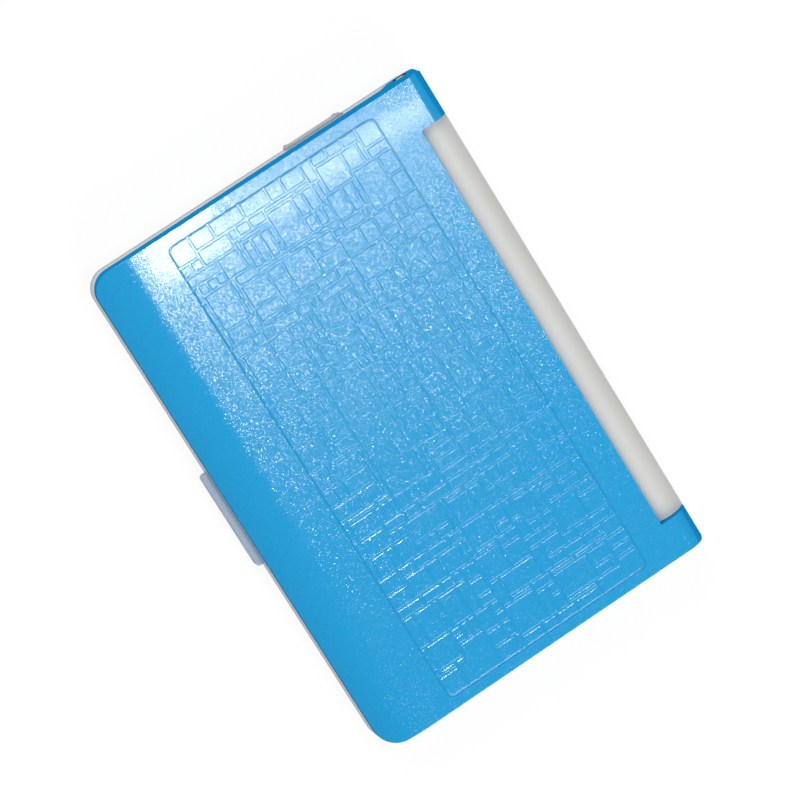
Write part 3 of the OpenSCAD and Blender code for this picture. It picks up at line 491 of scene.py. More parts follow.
class Workshop:
    """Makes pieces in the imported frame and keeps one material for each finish."""

    def __init__(self, frame: dict[str, Any]) -> None:
        """Keeps the frame.
        """
        self.frame = frame
        self.made: dict[Finish, Material] = {}

    def material(self, finish: Finish) -> Material:
        """Returns the finish's material, built once."""
        if finish not in self.made:
            self.made[finish] = finish.value.build()
        return self.made[finish]

    def coat(self, node: str, finish: Finish) -> None:
        """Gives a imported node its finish.

        Args:
            node: name of the node.
            finish: finish to put on it.
        """
        data = self.frame["nodes"][node].data
        data.materials.clear()
        data.materials.append(self.material(finish))
        LOG.info("%s: %s", node, finish.value.name)

    def piece(
        self, name: str, mesh: BMesh, body: str, slot: str, *finishes: Finish
    ) -> Object:
        """Turns a bmesh in metres into a piece that rides on a body.

        Args:
            name: the piece's name.
            mesh: its bmesh, which is freed.
            body: body that it rides on.
            slot: not used.
            finishes: finishes in the order of the faces' material indices.

        Returns:
            The new object.
        """
        data = bpy.data.meshes.new(name)
        mesh.to_mesh(data)
        mesh.free()
        for finish in finishes:
            data.materials.append(self.material(finish))
        obj = stand(name, data)
        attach(obj, body)
        LOG.info("%s: %d faces on %s", name, len(data.polygons), body)
        return obj

    def merged(self, node: str) -> BMesh:
        """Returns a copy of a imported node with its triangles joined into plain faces."""
        mesh = bmesh.new()
        mesh.from_mesh(self.frame["nodes"][node].data)
        bmesh.ops.remove_doubles(mesh, verts=mesh.verts, dist=0.0004 * MM)
        bmesh.ops.dissolve_limit(
            mesh, angle_limit=math.radians(0.5), verts=mesh.verts, edges=mesh.edges,
            use_dissolve_boundaries=False,
        )
        for face in mesh.faces:
            face.smooth = True
            face.material_index = 0
        return mesh

    def softened(self, node: str, slot: str, edge_mm: float, finish: Finish) -> Object:
        """Replaces a node by a copy of itself with softened edges.

        Args:
            node: node to copy.
            slot: passed on to piece, which doesn't use it.
            edge_mm: width of the softened edge.
            finish: its finish.

        Returns:
            The piece.
        """
        body = body_of(self.frame, node)
        obj = self.piece(node + "_moulding", self.merged(node), body, slot, finish)
        bevel = obj.modifiers.new("edge", "BEVEL")
        bevel.width = edge_mm * MM
        bevel.segments = 2
        bevel.limit_method = "ANGLE"
        bevel.angle_limit = math.radians(28)
        bevel.use_clamp_overlap = False
        bevel.miter_outer = "MITER_ARC"
        bevel.harden_normals = False
        keep_flat(obj)
        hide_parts(node)
        return obj


def body_of(frame: dict[str, Any], node: str) -> str:
    """Returns the body that a node rides on."""
    for body, members in frame["record"]["behaviour"]["bodies"].items():
        if node in members:
            return body
    raise KeyError(node)


def stand(name: str, data: ID) -> Object:
    """Puts an object in the scene, at the origin.

    Args:
        name: the object's name.
        data: its mesh, curve, lamp or camera.
    """
    obj = bpy.data.objects.new(name, data)
    bpy.context.scene.collection.objects.link(obj)
    return obj


def keep_flat(obj: Object, sharp: bool = False) -> None:
    """Keeps a piece's large faces flat beside their rounded rims.

    Args:
        obj: the piece.
        sharp: whether edges that are marked sharp stay so.
    """
    flat = obj.modifiers.new("flat faces", "WEIGHTED_NORMAL")
    flat.keep_sharp = sharp
    flat.weight = 90


def to_metres(mesh: BMesh) -> None:
    """Scales a bmesh that is drawn in millimetres to metres."""
    bmesh.ops.scale(mesh, vec=(MM, MM, MM), verts=mesh.verts)


def turn(mesh: BMesh, degrees: float) -> None:
    """Turns a flat drawing anticlockwise around the origin."""
    matrix = Matrix.Rotation(math.radians(degrees), 3, "Z")
    bmesh.ops.rotate(mesh, matrix=matrix, verts=mesh.verts)


def add_sheet(
    mesh: BMesh, wide: float, deep: float, spot: Sequence[float] = (0.0, 0.0, 0.0)
) -> None:
    """Adds a flat rectangle to a bmesh.

    Args:
        mesh: bmesh to add to.
        wide: the rectangle's size in x.
        deep: its size in y.
        spot: its centre.
    """
    place = Matrix.Translation(spot) @ Matrix.Diagonal((wide, deep, 1.0, 1.0))
    bmesh.ops.create_grid(mesh, x_segments=1, y_segments=1, size=0.5, matrix=place)


def round_off(
    mesh: BMesh,
    geom: Sequence[Any],
    size: float,
    steps: int,
    affect: str = "VERTICES",
    clamp: bool = True,
) -> None:
    """Rounds corners or edges of a bmesh.

    Args:
        mesh: the bmesh.
        geom: the corners or edges to round.
        size: width of the rounding, in the bmesh's own unit.
        steps: faces across the rounding.
        affect: VERTICES for corners, EDGES for edges.
        clamp: whether the rounding stops where it would run into another.
    """
    bmesh.ops.bevel(
        mesh, geom=geom, offset=size, offset_type="OFFSET", segments=steps, profile=0.5,
        affect=affect, clamp_overlap=clamp, material=-1,
    )


class Coat(Enum):
    """The coats on the lid's shell, in the order of its finishes."""

    TOP = 0
    # The walls' coat, drawn darker as painted shade
    SHADED_WALL = 1
    SILVER = 2
    # Black on the recess's walls is painted shade
    BORE_SHADE = 3


@dataclass
class LidShell:
    """The painted lid with its embossed panel.

    Lengths are taken from the middle of the case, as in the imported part's own drawing.
    """

    shop: Workshop
    # The crown falls to the front by this much over this length, from its height at the hinge
    fall: float = 2.2
    fall_run: float = 77.0
    top: float = 17.4
    back: float = 44.0
    # The panel's size and place, and those of the bare field in it
    panel_w: float = 120.3
    panel_d: float = 54.4
    panel_y: float = 1.2
    field_w: float = 28.4
    field_d: float = 9.4
    field_y: float = -7.9
    field_margin: tuple[float, float] = (0.2, 0.5)
    # The hinge's axis, the ears around it and the bay between them
    side_x: float = 63.0
    axis_y: float = 39.4
    axis_z: float = 10.8
    ear_r: float = 5.0
    ear_cap: float = 0.4
    bay_x: tuple[float, float] = (-52.0, 55.0)
    bay_d: float = 8.5
    # The ears' backs lean in by this share, reached this far above the axis
    tuck: float = 0.074
    tuck_run: float = 1.6
    # The cap on an ear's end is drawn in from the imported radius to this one
    packed_cap_r: float = 4.3
    cap_r: float = 3.6
    # The recess in the cap, and the pin's end in it
    bore_r: float = 1.9
    bore_t: float = 1.2
    pin_r: float = 1.3
    pin_dome: float = 0.5
    nose: float = 1.05
    silver_z: float = 8.8
    # Rounded edges lie outside the panel and this margin around it
    rim_mm: float = 0.15
    rim_margin: float = 0.9
    # A face whose normal points up by more than this gets the bright coat, and behind the hinge's
    # axis by more than the second number. The others get the darker wall coat, which is painted shade
    facing_up: float = 0.25
    facing_up_behind: float = 0.8
    # The relief is laid out on a grid of this pitch, with a groove around each tile
    pitch: float = 1.327
    groove: float = 0.4
    least_tile: float = 0.72
    corner: float = 0.28
    field_corner: float = 0.9
    panel_corner: float = 1.7
    # The plate under the tiles starts below the crown and rises above it. Each tile's edge is
    # sunk in it
    plate_foot: float = 0.03
    plate_rise: float = 0.09
    plate_over: float = 0.1
    sunk: float = 0.02
    # Width and rise of each band of a raised face's rim, from the foot up
    rises: tuple[tuple[float, float], ...] = (
        (0.002, 0.03), (0.08, 0.067), (0.05, 0.015), (0.1, 0.016)
    )
    # Tiles that are strewn first, and those that fill what is left, in cells
    large: tuple[tuple[int, int], ...] = (
        (6, 6), (5, 7), (7, 5), (8, 5), (5, 5), (4, 7), (7, 4), (6, 5)
    )
    small: tuple[tuple[int, int], ...] = (
        (3, 3), (4, 3), (3, 4), (4, 4), (2, 4), (5, 2), (3, 5), (2, 6)
    )
    corner_cells: int = 4
    strewn: int = 220
    seed: int = 41
    # Share of the tiles that are split, split evenly and split in three
    split_odds: float = 0.3
    even_odds: float = 0.15
    triple_odds: float = 0.06
    # Narrowest block that is split, longest side from which it may be split in three, and the
    # shares that the first strip gets where the others have 1
    least_split: float = 2.6
    least_triple: float = 4.5
    uneven: tuple[float, float] = (0.6, 1.7)

    def crown(self) -> Matrix:
        """Returns the matrix that lays a flat drawing on the sloping crown."""
        slope = math.atan(self.fall / self.fall_run)
        lift = Vector((CASE_X, CASE_Y + self.back, self.top)) * MM
        return Matrix.Translation(lift) @ Matrix.Rotation(slope, 4, "X")

    def tiles(self) -> list[tuple[float, float, float, float]]:
        """Lays out the panel's rectangles around the bare field.

        Returns:
            The left, front, width and depth of each, from the panel's front left corner.
        """
        dice = random.Random(self.seed)
        columns = round(self.panel_w / self.pitch)
        rows = round(self.panel_d / self.pitch)
        step_x = self.panel_w / columns
        step_y = self.panel_d / rows
        taken = self.field_cells(rows, columns)
        last = self.corner_cells
        corners = [(r, c, last, last) for r in (0, rows - last) for c in (0, columns - last)]
        spots = corners + [
            (dice.randrange(rows), dice.randrange(columns), *dice.choice(self.large))
            for _ in range(self.strewn)
        ]
        spots += [(r, c, *dice.choice(self.small)) for r in range(rows) for c in range(columns)]
        found: list[tuple[float, float, float, float]] = []
        for order, (row, column, wide, deep) in enumerate(spots):
            if taken[row][column]:
                continue
            filling = order >= len(corners) + self.strewn
            fits = self.room(taken, row, column, wide, columns, filling)
            free = 0
            for line in taken[row:row + deep]:
                if any(line[column:column + fits]):
                    break
                free += 1
            if not filling and (fits < wide or free < deep):
                continue
            for line in taken[row:row + free]:
                line[column:column + fits] = [True] * fits
            block = (column * step_x, row * step_y, fits * step_x, free * step_y)
            found.extend([block] if order < len(corners) else self.strips(block, dice))
        return found

    def field_cells(self, rows: int, columns: int) -> list[list[bool]]:
        """Returns, for each row and column of the grid, whether the bare field covers the cell."""
        centre_x = self.panel_w / 2
        centre_y = self.panel_d / 2 + self.field_y - self.panel_y
        margin_x, margin_y = self.field_margin
        reach = self.field_d / 2 + margin_y
        across = [
            abs((column + 0.5) * self.panel_w / columns - centre_x) < self.field_w / 2 + margin_x
            for column in range(columns)
        ]
        return [
            [
                over and abs((row + 0.5) * self.panel_d / rows - centre_y) < reach
                for over in across
            ]
            for row in range(rows)
        ]

    @staticmethod
    def room(
        taken: Sequence[Sequence[bool]], row: int, column: int, wide: int, columns: int, stretch: bool
    ) -> int:
        """Returns how many of the wanted cells are free from this one on.

        Args:
            taken: which cells are in use.
            row: the cell's row.
            column: the cell's column.
            wide: cells wanted.
            columns: cells in a row.
            stretch: whether a last single cell is joined on, so that it is no sliver.
        """
        free = 0
        while free < wide and column + free < columns and not taken[row][column + free]:
            free += 1
        after = column + free
        if stretch and after < columns and not taken[row][after]:
            if after + 1 == columns or taken[row][after + 1]:
                free += 1
        return free

    def strips(
        self, block: tuple[float, float, float, float], dice: random.Random
    ) -> list[tuple[float, float, float, float]]:
        """Splits some rectangles into two or three parallel strips.

        Args:
            block: the rectangle.
            dice: source of the choices.

        Returns:
            One rectangle or its strips.
        """
        x, y, wide, deep = block
        chance = dice.random()
        if chance > self.split_odds or min(wide, deep) < self.least_split:
            return [block]
        three = chance < self.triple_odds and max(wide, deep) > self.least_triple
        share = [1.0] * (3 if three else 2)
        if chance > self.even_odds:
            share[0] = dice.choice(self.uneven)
        total = sum(share)
        made = []
        at = 0.0
        for part in share:
            size = part / total
            if wide >= deep:
                made.append((x + at * wide, y, size * wide, deep))
            else:
                made.append((x, y + at * deep, wide, size * deep))
            at += size
        return made

    def relief(self) -> Object:
        """Makes the raised tiles of the embossed panel, and the thin plate below them."""
        mesh = bmesh.new()
        left = -self.panel_w / 2
        middle = self.panel_y - self.back
        front = middle - self.panel_d / 2
        for x, y, wide, deep in self.tiles():
            add_sheet(
                mesh,
                max(wide - self.groove, self.least_tile),
                max(deep - self.groove, self.least_tile),
                (left + x + wide / 2, front + y + deep / 2, self.plate_rise - self.sunk),
            )
        over = self.plate_over
        add_sheet(mesh, self.panel_w + over, self.panel_d + over, (0.0, middle, -self.plate_foot))
        reach_x = (self.panel_w - self.groove) / 2 - 0.01
        reach_y = (self.panel_d - self.groove) / 2 - 0.01
        outer = [
            v for v in mesh.verts if abs(v.co.x) > reach_x and abs(v.co.y - middle) > reach_y
        ]
        inner = [v for v in mesh.verts if v not in outer]
        round_off(mesh, inner, self.corner, 2)
        round_off(mesh, outer, self.panel_corner, 5)
        return self.embossed("embossed_tiles", mesh, Finish.PANEL_PAINT)

    def field(self) -> Object:
        """Makes the bare field that stands in the panel."""
        mesh = bmesh.new()
        spot = (0.0, self.field_y - self.back, self.plate_rise - self.sunk)
        add_sheet(mesh, self.field_w, self.field_d, spot)
        round_off(mesh, mesh.verts[:], self.field_corner, 6)
        return self.embossed("name_field", mesh, Finish.LID_PAINT)

    def embossed(self, name: str, mesh: BMesh, finish: Finish) -> Object:
        """Raises flat faces by 0.13 mm and lays them on the crown.

        Each face gets a rim that slopes at 40, 17 and 9 degrees.

        Args:
            name: the piece's name.
            mesh: the flat faces, in millimetres.
            finish: the piece's finish.

        Returns:
            The piece.
        """
        faces = mesh.faces[:]
        for draw, lift in self.rises:
            bmesh.ops.inset_individual(
                mesh, faces=faces, thickness=draw, depth=lift, use_even_offset=True
            )
        to_metres(mesh)
        bmesh.ops.transform(mesh, matrix=self.crown(), verts=mesh.verts)
        return self.shop.piece(name, mesh, "lid", "lid_shell", finish)

    def on_rim(self, edge: BMEdge) -> bool:
        """Tells whether an edge runs between the shell's top and its walls, or around an ear."""
        if len(edge.link_faces) != 2 or edge.calc_face_angle(0.0) < math.radians(40):
            return False
        points = [vert.co / MM - Vector((CASE_X, CASE_Y, 0.0)) for vert in edge.verts]
        half_w = self.panel_w / 2 + self.rim_margin
        half_d = self.panel_d / 2 + self.rim_margin
        inside = [abs(p.x) < half_w and abs(p.y - self.panel_y) < half_d for p in points]
        left, right = self.bay_x
        bay = [left < p.x < right and p.y > self.back - self.bay_d for p in points]
        if all(inside) or all(bay):
            return False
        upward = sorted(face.normal.z for face in edge.link_faces)
        if upward[1] > self.facing_up and abs(upward[0]) < self.facing_up:
            return True
        sideways = sorted(abs(face.normal.x) for face in edge.link_faces)
        ear = all(math.hypot(p.y - self.axis_y, p.z - self.axis_z) < self.ear_r for p in points)
        outside = all(abs(p.x) > self.side_x - 0.1 for p in points)
        return ear and outside and sideways[1] > 0.95 and sideways[0] < 0.1

    def past_side(self, point: Vector, by: float = 0.02) -> bool:
        """Tells whether a point in metres lies beyond the lid's side, on the cap of an ear.

        Args:
            point: the point.
            by: how far beyond the side it lies at least, in millimetres.
        """
        return abs(point.x - CASE_X * MM) > (self.side_x + by) * MM

    def tuck_ears(self, mesh: BMesh) -> None:
        """Leans the back of each ear in, in line with the barrel, and draws its end cap in."""
        axis_y = (CASE_Y + self.axis_y) * MM
        for vert in mesh.verts:
            if vert.co.y > axis_y:
                share = min(max(vert.co.z / MM - self.axis_z, 0.0) / self.tuck_run, 1.0)
                vert.co.y = axis_y + (vert.co.y - axis_y) * (1.0 - self.tuck * share)
        caps = [vert for vert in mesh.verts if self.past_side(vert.co)]
        axis = Matrix.Translation((0.0, -axis_y, -self.axis_z * MM))
        shrink = self.cap_r / self.packed_cap_r
        bmesh.ops.scale(mesh, vec=(1.0, shrink, shrink), space=axis, verts=caps)

    def bore_ears(self, mesh: BMesh) -> None:
        """Sinks a round recess in the end of each ear, in which the pin's end shows. Its walls are
        black as painted shade.

        The lower part of the ear's end goes on with the silver of the base beside it.
        """
        ends = [
            face for face in mesh.faces
            if abs(face.normal.x) > 0.99
            and self.past_side(face.calc_center_median(), self.ear_cap - 0.05)
        ]
        bmesh.ops.inset_region(mesh, faces=ends, thickness=0.01 * MM, use_even_offset=True)
        axis = Vector((0.0, CASE_Y + self.axis_y, self.axis_z)) * MM
        for vert in [vert for face in ends for vert in face.verts]:
            spoke = vert.co - axis
            spoke.x = 0.0
            vert.co += spoke.normalized() * (self.bore_r * MM - spoke.length)
        caps = [
            face for face in mesh.faces
            if self.past_side(face.calc_center_median()) and face not in ends
        ]
        # The keys of a dictionary keep the parts in the same order each run
        parts = dict.fromkeys(part for face in caps for part in (face, *face.edges, *face.verts))
        bmesh.ops.bisect_plane(
            mesh, geom=list(parts), dist=1e-7, plane_co=(0, 0, self.silver_z * MM),
            plane_no=(0, 0, 1),
        )
        for face in mesh.faces:
            middle = face.calc_center_median()
            if self.past_side(middle):
                silver = middle.z < self.silver_z * MM
                face.material_index = Coat.SILVER.value if silver else Coat.SHADED_WALL.value
        for face in bmesh.ops.extrude_discrete_faces(mesh, faces=ends)["faces"]:
            bmesh.ops.translate(mesh, vec=-face.normal * self.bore_t * MM, verts=face.verts[:])
            # The recess's walls are painted black: painted shade
            for side in [side for edge in face.edges for side in edge.link_faces]:
                side.material_index = Coat.BORE_SHADE.value

    def pin_ends(self) -> Object:
        """Makes the domed ends of the hinge pins, which show in the ears' recesses."""
        mesh = bmesh.new()
        lying = Matrix.Rotation(math.radians(90), 4, "Y")
        out = self.side_x + self.ear_cap - 0.1 - self.nose / 2
        for side in (-1, 1):
            spot = (CASE_X + side * out, CASE_Y + self.axis_y, self.axis_z)
            bmesh.ops.create_cone(
                mesh, cap_ends=True, segments=32, radius1=self.pin_r, radius2=self.pin_r,
                depth=self.nose, matrix=Matrix.Translation(spot) @ lying,
            )
        rim = [edge for edge in mesh.edges if edge.calc_face_angle(0.0) > 1.0]
        round_off(mesh, rim, self.pin_dome, 3, affect="EDGES")
        for face in mesh.faces:
            face.smooth = True
        to_metres(mesh)
        obj = self.shop.piece("pin_ends", mesh, "lid", "steel", Finish.ZINC)
        keep_flat(obj)
        return obj

    def shell(self) -> Object:
        """Makes the painted shell, with its rim rounded and its walls in a darker coat as painted
        shade.
        """
        mesh = self.shop.merged("lid_cover")
        self.tuck_ears(mesh)
        mesh.normal_update()
        # Walls and the backs of the ears get the darker coat, which is painted shade
        for face in mesh.faces:
            behind = face.calc_center_median().y > (CASE_Y + self.axis_y) * MM
            upper = face.normal.z > (self.facing_up_behind if behind else self.facing_up)
            face.material_index = Coat.TOP.value if upper else Coat.SHADED_WALL.value
        rim = [edge for edge in mesh.edges if self.on_rim(edge)]
        round_off(mesh, rim, self.rim_mm * MM, 3, affect="EDGES", clamp=False)
        self.bore_ears(mesh)
        for face in mesh.faces:
            face.smooth = True
        for edge in mesh.edges:
            edge.smooth = edge.calc_face_angle(0.0) < math.radians(35)
        obj = self.shop.piece(
            "lid_shell_moulding", mesh, "lid", "lid_shell", Finish.LID_PAINT, Finish.SHADED_WALL_PAINT,
            Finish.SILVER_GREY, Finish.BLACK,
        )
        keep_flat(obj, sharp=True)
        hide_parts("lid_cover")
        return obj

    def build(self) -> None:
        """Builds the painted shell and its relief."""
        self.shell()
        self.pin_ends()
        self.relief()
        self.field()


@dataclass
class ScreenHalf:
    """What shows inside the open lid: the frame, the window, the display and the fasteners."""

    shop: Workshop
    # Width, outer corner and thickness of the border, and its gap to the window's edge
    border: float = 3.4
    border_corner: float = 1.8
    border_gap: float = 0.1
    print_t: float = 0.03

    def build(self) -> None:
        """Builds and coats the pieces of the screen half."""
        self.shop.softened("lid_bezel", "white_plastic", 0.15, Finish.WARM_WHITE)
        self.shop.coat("screen_window", Finish.WINDOW)
        self.shop.coat("display_module", Finish.CRYSTAL)
        self.shop.coat("lid_bumpers", Finish.RUBBER)
        self.shop.coat("lid_screws", Finish.ZINC)
        self.printed_border()

    def printed_border(self) -> Object:
        """Makes the printed border on the inner face of the window."""
        low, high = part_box("screen_window")
        wide = (high[0] - low[0]) / MM - 2 * self.border_gap
        deep = (high[1] - low[1]) / MM - 2 * self.border_gap
        middle = Vector(((low[0] + high[0]) / 2, (low[1] + high[1]) / 2, high[2] - 0.02 * MM))
        mesh = bmesh.new()
        add_sheet(mesh, wide, deep)
        round_off(mesh, mesh.verts[:], self.border_corner, 6)
        ring = bmesh.ops.inset_region(
            mesh, faces=mesh.faces[:], thickness=self.border, use_boundary=True,
            use_even_offset=True,
        )
        inner = [face for face in mesh.faces if face not in ring["faces"]]
        bmesh.ops.delete(mesh, geom=inner, context="FACES_ONLY")
        bmesh.ops.solidify(mesh, geom=mesh.faces[:], thickness=self.print_t)
        to_metres(mesh)
        bmesh.ops.translate(mesh, vec=middle, verts=mesh.verts)
        bmesh.ops.recalc_face_normals(mesh, faces=mesh.faces)
        return self.shop.piece("window_border", mesh, "lid", "window", Finish.WINDOW_PRINT)


@dataclass
class Hinge:
    """The barrel between the ears, with its clutch, bush and pins."""

    shop: Workshop

    def build(self) -> None:
        """Builds and coats the hinge's pieces."""
        self.shop.softened("hinge_barrel", "white_plastic", 0.08, Finish.WARM_WHITE)
        self.shop.coat("hinge_clutch", Finish.ZINC)
        self.shop.coat("hinge_pins", Finish.ZINC)
        self.shop.coat("hinge_bush", Finish.BRONZE)


@dataclass
class BaseCase:
    """The base's housing with its doors, feet, screws and electronics."""

    shop: Workshop

    def build(self) -> None:
        """Builds and coats the base's pieces."""
        housings = (
            ("bottom_case", "base_plastic", 0.12, Finish.SILVER_BLUE),
            ("keyboard_deck", "white_plastic", 0.12, Finish.WARM_WHITE),
            ("battery_door", "base_plastic", 0.12, Finish.SILVER_BLUE),
            ("port_cover", "base_plastic", 0.12, Finish.SILVER_GREY),
            ("latch_button", "base_plastic", 0.2, Finish.SILVER_BLUE),
        )
        for node, slot, edge_mm, finish in housings:
            self.shop.softened(node, slot, edge_mm, finish)
        fittings = {
            "latch_springs": Finish.ZINC, "rubber_feet": Finish.RUBBER,
            "case_screws": Finish.ZINC, "key_mat": Finish.SILICONE,
            "main_board": Finish.BOARD, "battery": Finish.FOIL, "speaker": Finish.BLACK,
            "usb_socket": Finish.NICKEL, "earphone_jack": Finish.BLACK,
        }
        for node, finish in fittings.items():
            self.shop.coat(node, finish)


class Arrow(Enum):
    """Directions of the arrows printed on the keys, in degrees from the right."""

    RIGHT = 0
    UP = 90
    LEFT = 180
    DOWN = 270


@dataclass
class Keyboard:
    """The keys with their printed legends."""

    shop: Workshop
    letters: str = "qwertyuiopasdfghjklzxcvbnm"
    letter_mm: float = 4.42
    key_edge: float = 0.16
    rocker_edge: float = 0.15
    # The keys' tops are crowned by this much between their flanges
    crown: float = 0.4
    flange: float = 0.5
    ink_mm: float = 0.02
    # A legend is cut into bands of this width, so that it follows the crown of its key
    band_mm: float = 0.4
    bands: int = 5
    # Radius of an arrow's head and of the power mark's ring, and widths of the lines
    mark_r: float = 1.15
    line_mm: float = 0.5
    ring_line: float = 0.4

    def build(self) -> None:
        """Builds every key."""
        for letter in self.letters:
            self.key("key_" + letter, Finish.LETTER_KEY, "letter_key", self.glyph(letter.upper()))
        marks = {
            "key_left": self.arrow(Arrow.LEFT), "key_right": self.arrow(Arrow.RIGHT),
            "key_up": self.arrow(Arrow.UP), "key_down": self.arrow(Arrow.DOWN),
            "key_enter": self.arrow(Arrow.LEFT, 1.7), "key_back": self.arrow(Arrow.LEFT, 2.6),
            "key_shift": self.arrow(Arrow.UP, 1.2), "key_space": self.bar(9.0),
            "key_power": self.power_mark(),
        }
        for node, mark in marks.items():
            self.key(node, Finish.ACCENT_KEY, "accent_key", mark)
        self.shop.softened("page_rocker", "accent_key", self.rocker_edge, Finish.ACCENT_KEY)

    def key(self, node: str, finish: Finish, slot: str, legend: BMesh) -> None:
        """Builds one key: its softened cap, and its legend printed on the crown.

        Args:
            node: the key's node.
            finish: finish of the cap.
            slot: passed on to softened and piece, which don't use it.
            legend: flat legend around the origin, in millimetres.
        """
        ink = Finish.LEGEND if finish is Finish.LETTER_KEY else Finish.PALE_LEGEND
        self.shop.softened(node, slot, self.key_edge, finish)
        low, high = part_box(node)
        top = high[2] + self.ink_mm * MM / 2
        deep = (high[1] - low[1]) / MM - 2 * self.flange
        crown_r = deep ** 2 / (8 * self.crown) + self.crown / 2
        for step in range(-self.bands, self.bands + 1):
            bmesh.ops.bisect_plane(
                legend, geom=legend.verts[:] + legend.edges[:] + legend.faces[:], dist=1e-5,
                plane_co=(0, step * self.band_mm, 0), plane_no=(0, 1, 0),
            )
        for vert in legend.verts:
            vert.co.z -= vert.co.y ** 2 / (2 * crown_r)
        to_metres(legend)
        middle = Vector(((low[0] + high[0]) / 2, (low[1] + high[1]) / 2, top))
        bmesh.ops.translate(legend, vec=middle, verts=legend.verts)
        self.shop.piece(node + "_print", legend, node, slot, ink)

    def glyph(self, text: str) -> BMesh:
        """Returns a letter, centred on the origin."""
        curve = bpy.data.curves.new("letter", "FONT")
        curve.body = text
        curve.size = self.letter_mm
        curve.align_x = "CENTER"
        curve.align_y = "CENTER"
        curve.resolution_u = 4
        holder = stand("letter", curve)
        graph = bpy.context.evaluated_depsgraph_get()
        data = bpy.data.meshes.new_from_object(holder.evaluated_get(graph))
        mesh = bmesh.new()
        mesh.from_mesh(data)
        bpy.data.objects.remove(holder)
        bpy.data.curves.remove(curve)
        bpy.data.meshes.remove(data)
        return self.inked(mesh)

    def arrow(self, way: Arrow, shaft: float = 0.0) -> BMesh:
        """Returns an arrow.

        Args:
            way: where it points.
            shaft: length of its shaft, or 0 for a bare head.
        """
        mesh = bmesh.new()
        bmesh.ops.create_circle(mesh, cap_ends=True, segments=3, radius=self.mark_r)
        turn(mesh, -90)
        if shaft:
            add_sheet(mesh, shaft, self.line_mm, (-shaft / 2 - 0.4, 0.0, 0.0))
        turn(mesh, way.value)
        return self.inked(mesh)

    def bar(self, length: float) -> BMesh:
        """Returns the mark of the space key: a low bar of the given length with raised ends."""
        mesh = bmesh.new()
        add_sheet(mesh, length, self.line_mm)
        for side in (-1, 1):
            spot = (side * (length - self.line_mm) / 2, 0.75, 0.0)
            add_sheet(mesh, self.line_mm, 1.0, spot)
        return self.inked(mesh)

    def power_mark(self) -> BMesh:
        """Returns the mark of the power key: an open ring with a bar in its gap."""
        mesh = bmesh.new()
        add_sheet(mesh, self.ring_line, 0.02, (self.mark_r, 0.0, 0.0))
        edge = [e for e in mesh.edges if all(v.co.y > 0 for v in e.verts)]
        bmesh.ops.delete(mesh, geom=mesh.faces[:], context="FACES_ONLY")
        bmesh.ops.spin(
            mesh, geom=edge + [v for e in edge for v in e.verts], cent=(0, 0, 0), axis=(0, 0, 1),
            angle=math.radians(290), steps=18, use_merge=False,
        )
        loose = [v for v in mesh.verts if not v.link_faces]
        bmesh.ops.delete(mesh, geom=loose, context="VERTS")
        turn(mesh, 125)
        add_sheet(mesh, self.ring_line, 1.2, (0.0, 1.0, 0.0))
        return self.inked(mesh)

    def inked(self, mesh: BMesh) -> BMesh:
        """Gives a flat drawing the thickness of a coat of ink."""
        bmesh.ops.recalc_face_normals(mesh, faces=mesh.faces)
        for face in mesh.faces:
            if face.normal.z < 0:
                face.normal_flip()
        bmesh.ops.solidify(mesh, geom=mesh.faces[:], thickness=self.ink_mm)
        return mesh


@dataclass(frozen=True)
class Softbox:
    """A rectangular lamp. Its lengths are in metres."""

    name: str
    place: tuple[float, float, float]
    aim: tuple[float, float, float]
    size: tuple[float, float]
    # How bright its face looks, where 1 is white
    radiance: float

    def build(self) -> None:
        """Makes the lamp."""
        data = bpy.data.lights.new(self.name, "AREA")
        data.shape = "RECTANGLE"
        data.size = self.size[0]
        data.size_y = self.size[1]
        data.energy = self.radiance * math.pi * self.size[0] * self.size[1]
        stand(self.name, data).matrix_world = facing(Vector(self.place), Vector(self.aim))


def facing(place: Vector, aim: Vector) -> Matrix:
    """Returns the matrix that stands a lamp or a camera at a place and turns it to a point."""
    look = (aim - place).to_track_quat("-Z", "Y").to_matrix().to_4x4()
    return Matrix.Translation(place) @ look


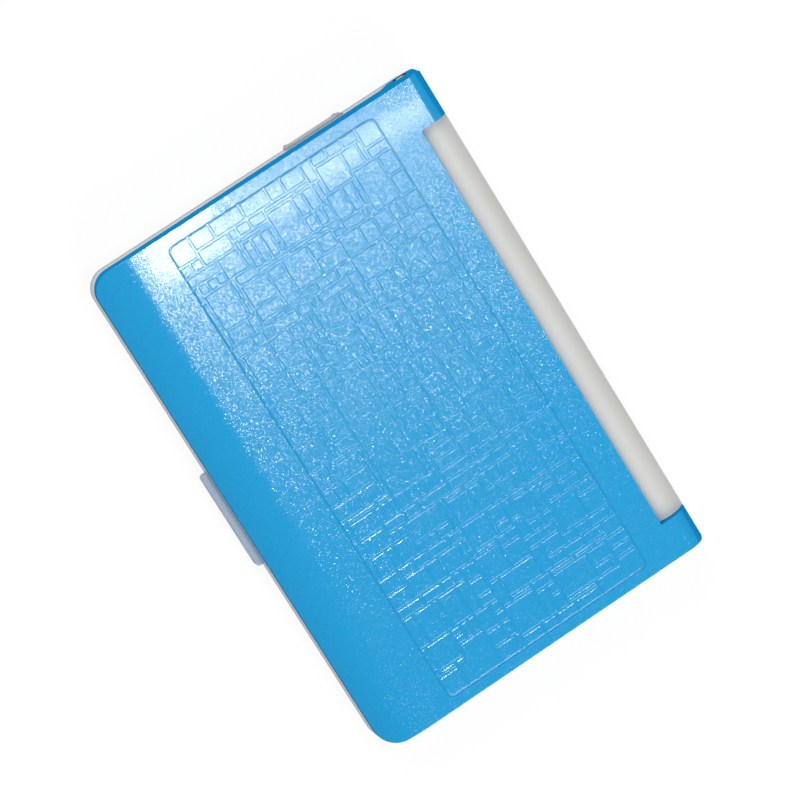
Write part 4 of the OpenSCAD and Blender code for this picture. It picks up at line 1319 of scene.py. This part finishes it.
@dataclass
class Studio:
    """The floor, the lamps and the camera."""

    # Place of the camera, the point it looks at and its turn about that line
    eye: tuple[float, float, float] = (-150.51, -114.54, 726.18)
    aim: tuple[float, float, float] = (-3.33, 1.09, 16.0)
    roll_deg: float = 108.969
    lens_mm: float = 148.5
    room_colour: str = "#DDE3E8"
    room_light: float = 0.3
    # The floor's side in metres, and its depth below the object's feet in millimetres
    floor_size: float = 3.0
    floor_drop: float = 0.02
    # Share of the floor's look that doesn't come from the lamps, and how bright that share is
    glow_share: float = 0.88
    glow: float = 1.03

    def camera(self) -> None:
        """Makes the camera at the photograph's viewing angle."""
        data = bpy.data.cameras.new("camera")
        data.lens = self.lens_mm
        data.sensor_width = 36.0
        data.clip_start = 0.01
        data.clip_end = 20.0
        obj = stand("camera", data)
        roll = Matrix.Rotation(math.radians(self.roll_deg), 4, "Z")
        obj.matrix_world = facing(Vector(self.eye) * MM, Vector(self.aim) * MM) @ roll
        bpy.context.scene.camera = obj

    def lamps(self) -> None:
        """Makes the softboxes and the even light of the room."""
        boxes = (
            Softbox("front strip", (-0.01, 0.026, 0.73), (-0.01, 0.026, 0.0), (0.106, 0.036), 57.0),
            Softbox("side strip", (0.038, 0.106, 0.73), (0.038, 0.106, 0.0), (0.01, 0.124), 34.0),
            Softbox("rear softbox", (0.0, 0.3, 0.73), (0.0, 0.3, 0.0), (0.12, 0.2), 9.5),
            Softbox("left softbox", (-0.85, -0.1, 0.72), (0.0, 0.0, 0.0), (0.6, 0.8), 4.0),
            Softbox("right softbox", (0.85, -0.1, 0.72), (0.0, 0.0, 0.0), (0.6, 0.8), 4.0),
        )
        for box in boxes:
            box.build()
        world = bpy.data.worlds.new("room")
        world.use_nodes = True
        tree = world.node_tree
        tree.nodes.clear()
        values = {"Color": linear(self.room_colour), "Strength": self.room_light}
        soft = add_node(tree, "ShaderNodeBackground", values=values)
        add_node(tree, "ShaderNodeOutputWorld", links={"Surface": soft.outputs[0]})
        bpy.context.scene.world = world

    def floor(self) -> None:
        """Makes the pale floor, which looks white to the camera and keeps a faint shadow."""
        mesh = bmesh.new()
        half = self.floor_size / 2
        spot = Matrix.Translation((0, 0, -self.floor_drop * MM))
        bmesh.ops.create_grid(mesh, x_segments=8, y_segments=8, size=half, matrix=spot)
        data = bpy.data.meshes.new("floor")
        mesh.to_mesh(data)
        mesh.free()
        data.materials.append(self.paper())
        stand("floor", data)

    def paper(self) -> Material:
        """Returns the floor's material: white paper with a faint shadow on it."""
        material, tree, shader = blank_material("white backdrop paper", {
            "Base Color": linear("#E9E9E9"), "Roughness": 0.9, "Specular IOR Level": 0.1,
        })
        surface_bump(tree, shader, 0.6, 0.01)
        path = add_node(tree, "ShaderNodeLightPath")
        seen = path.outputs["Is Camera Ray"]
        for kind in ("Is Glossy Ray", "Is Transmission Ray"):
            either = {0: seen, 1: path.outputs[kind]}
            seen = add_node(tree, "ShaderNodeMath", either, operation="MAXIMUM").outputs[0]
        share = add_node(
            tree, "ShaderNodeMath", {0: seen}, {1: self.glow_share}, operation="MULTIPLY"
        )
        glow = add_node(tree, "ShaderNodeEmission", values={"Strength": self.glow})
        both = add_node(
            tree, "ShaderNodeMixShader",
            links={0: share.outputs[0], 1: shader.outputs[0], 2: glow.outputs[0]},
        )
        out = next(n for n in tree.nodes if n.type == "OUTPUT_MATERIAL")
        tree.links.new(both.outputs[0], out.inputs["Surface"])
        return material

    def build(self) -> None:
        """Builds the studio."""
        self.camera()
        self.lamps()
        self.floor()
        bpy.context.scene.view_settings.view_transform = "Standard"


def main() -> None:
    """Builds the dressed model in its studio."""
    logging.basicConfig(level=logging.INFO, format="%(message)s")
    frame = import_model()
    shop = Workshop(frame)
    parts = (
        Studio(), LidShell(shop), ScreenHalf(shop), Hinge(shop), BaseCase(shop), Keyboard(shop)
    )
    for part in parts:
        part.build()
        LOG.info("%s built", type(part).__name__)


if __name__ == "__main__":
    main()
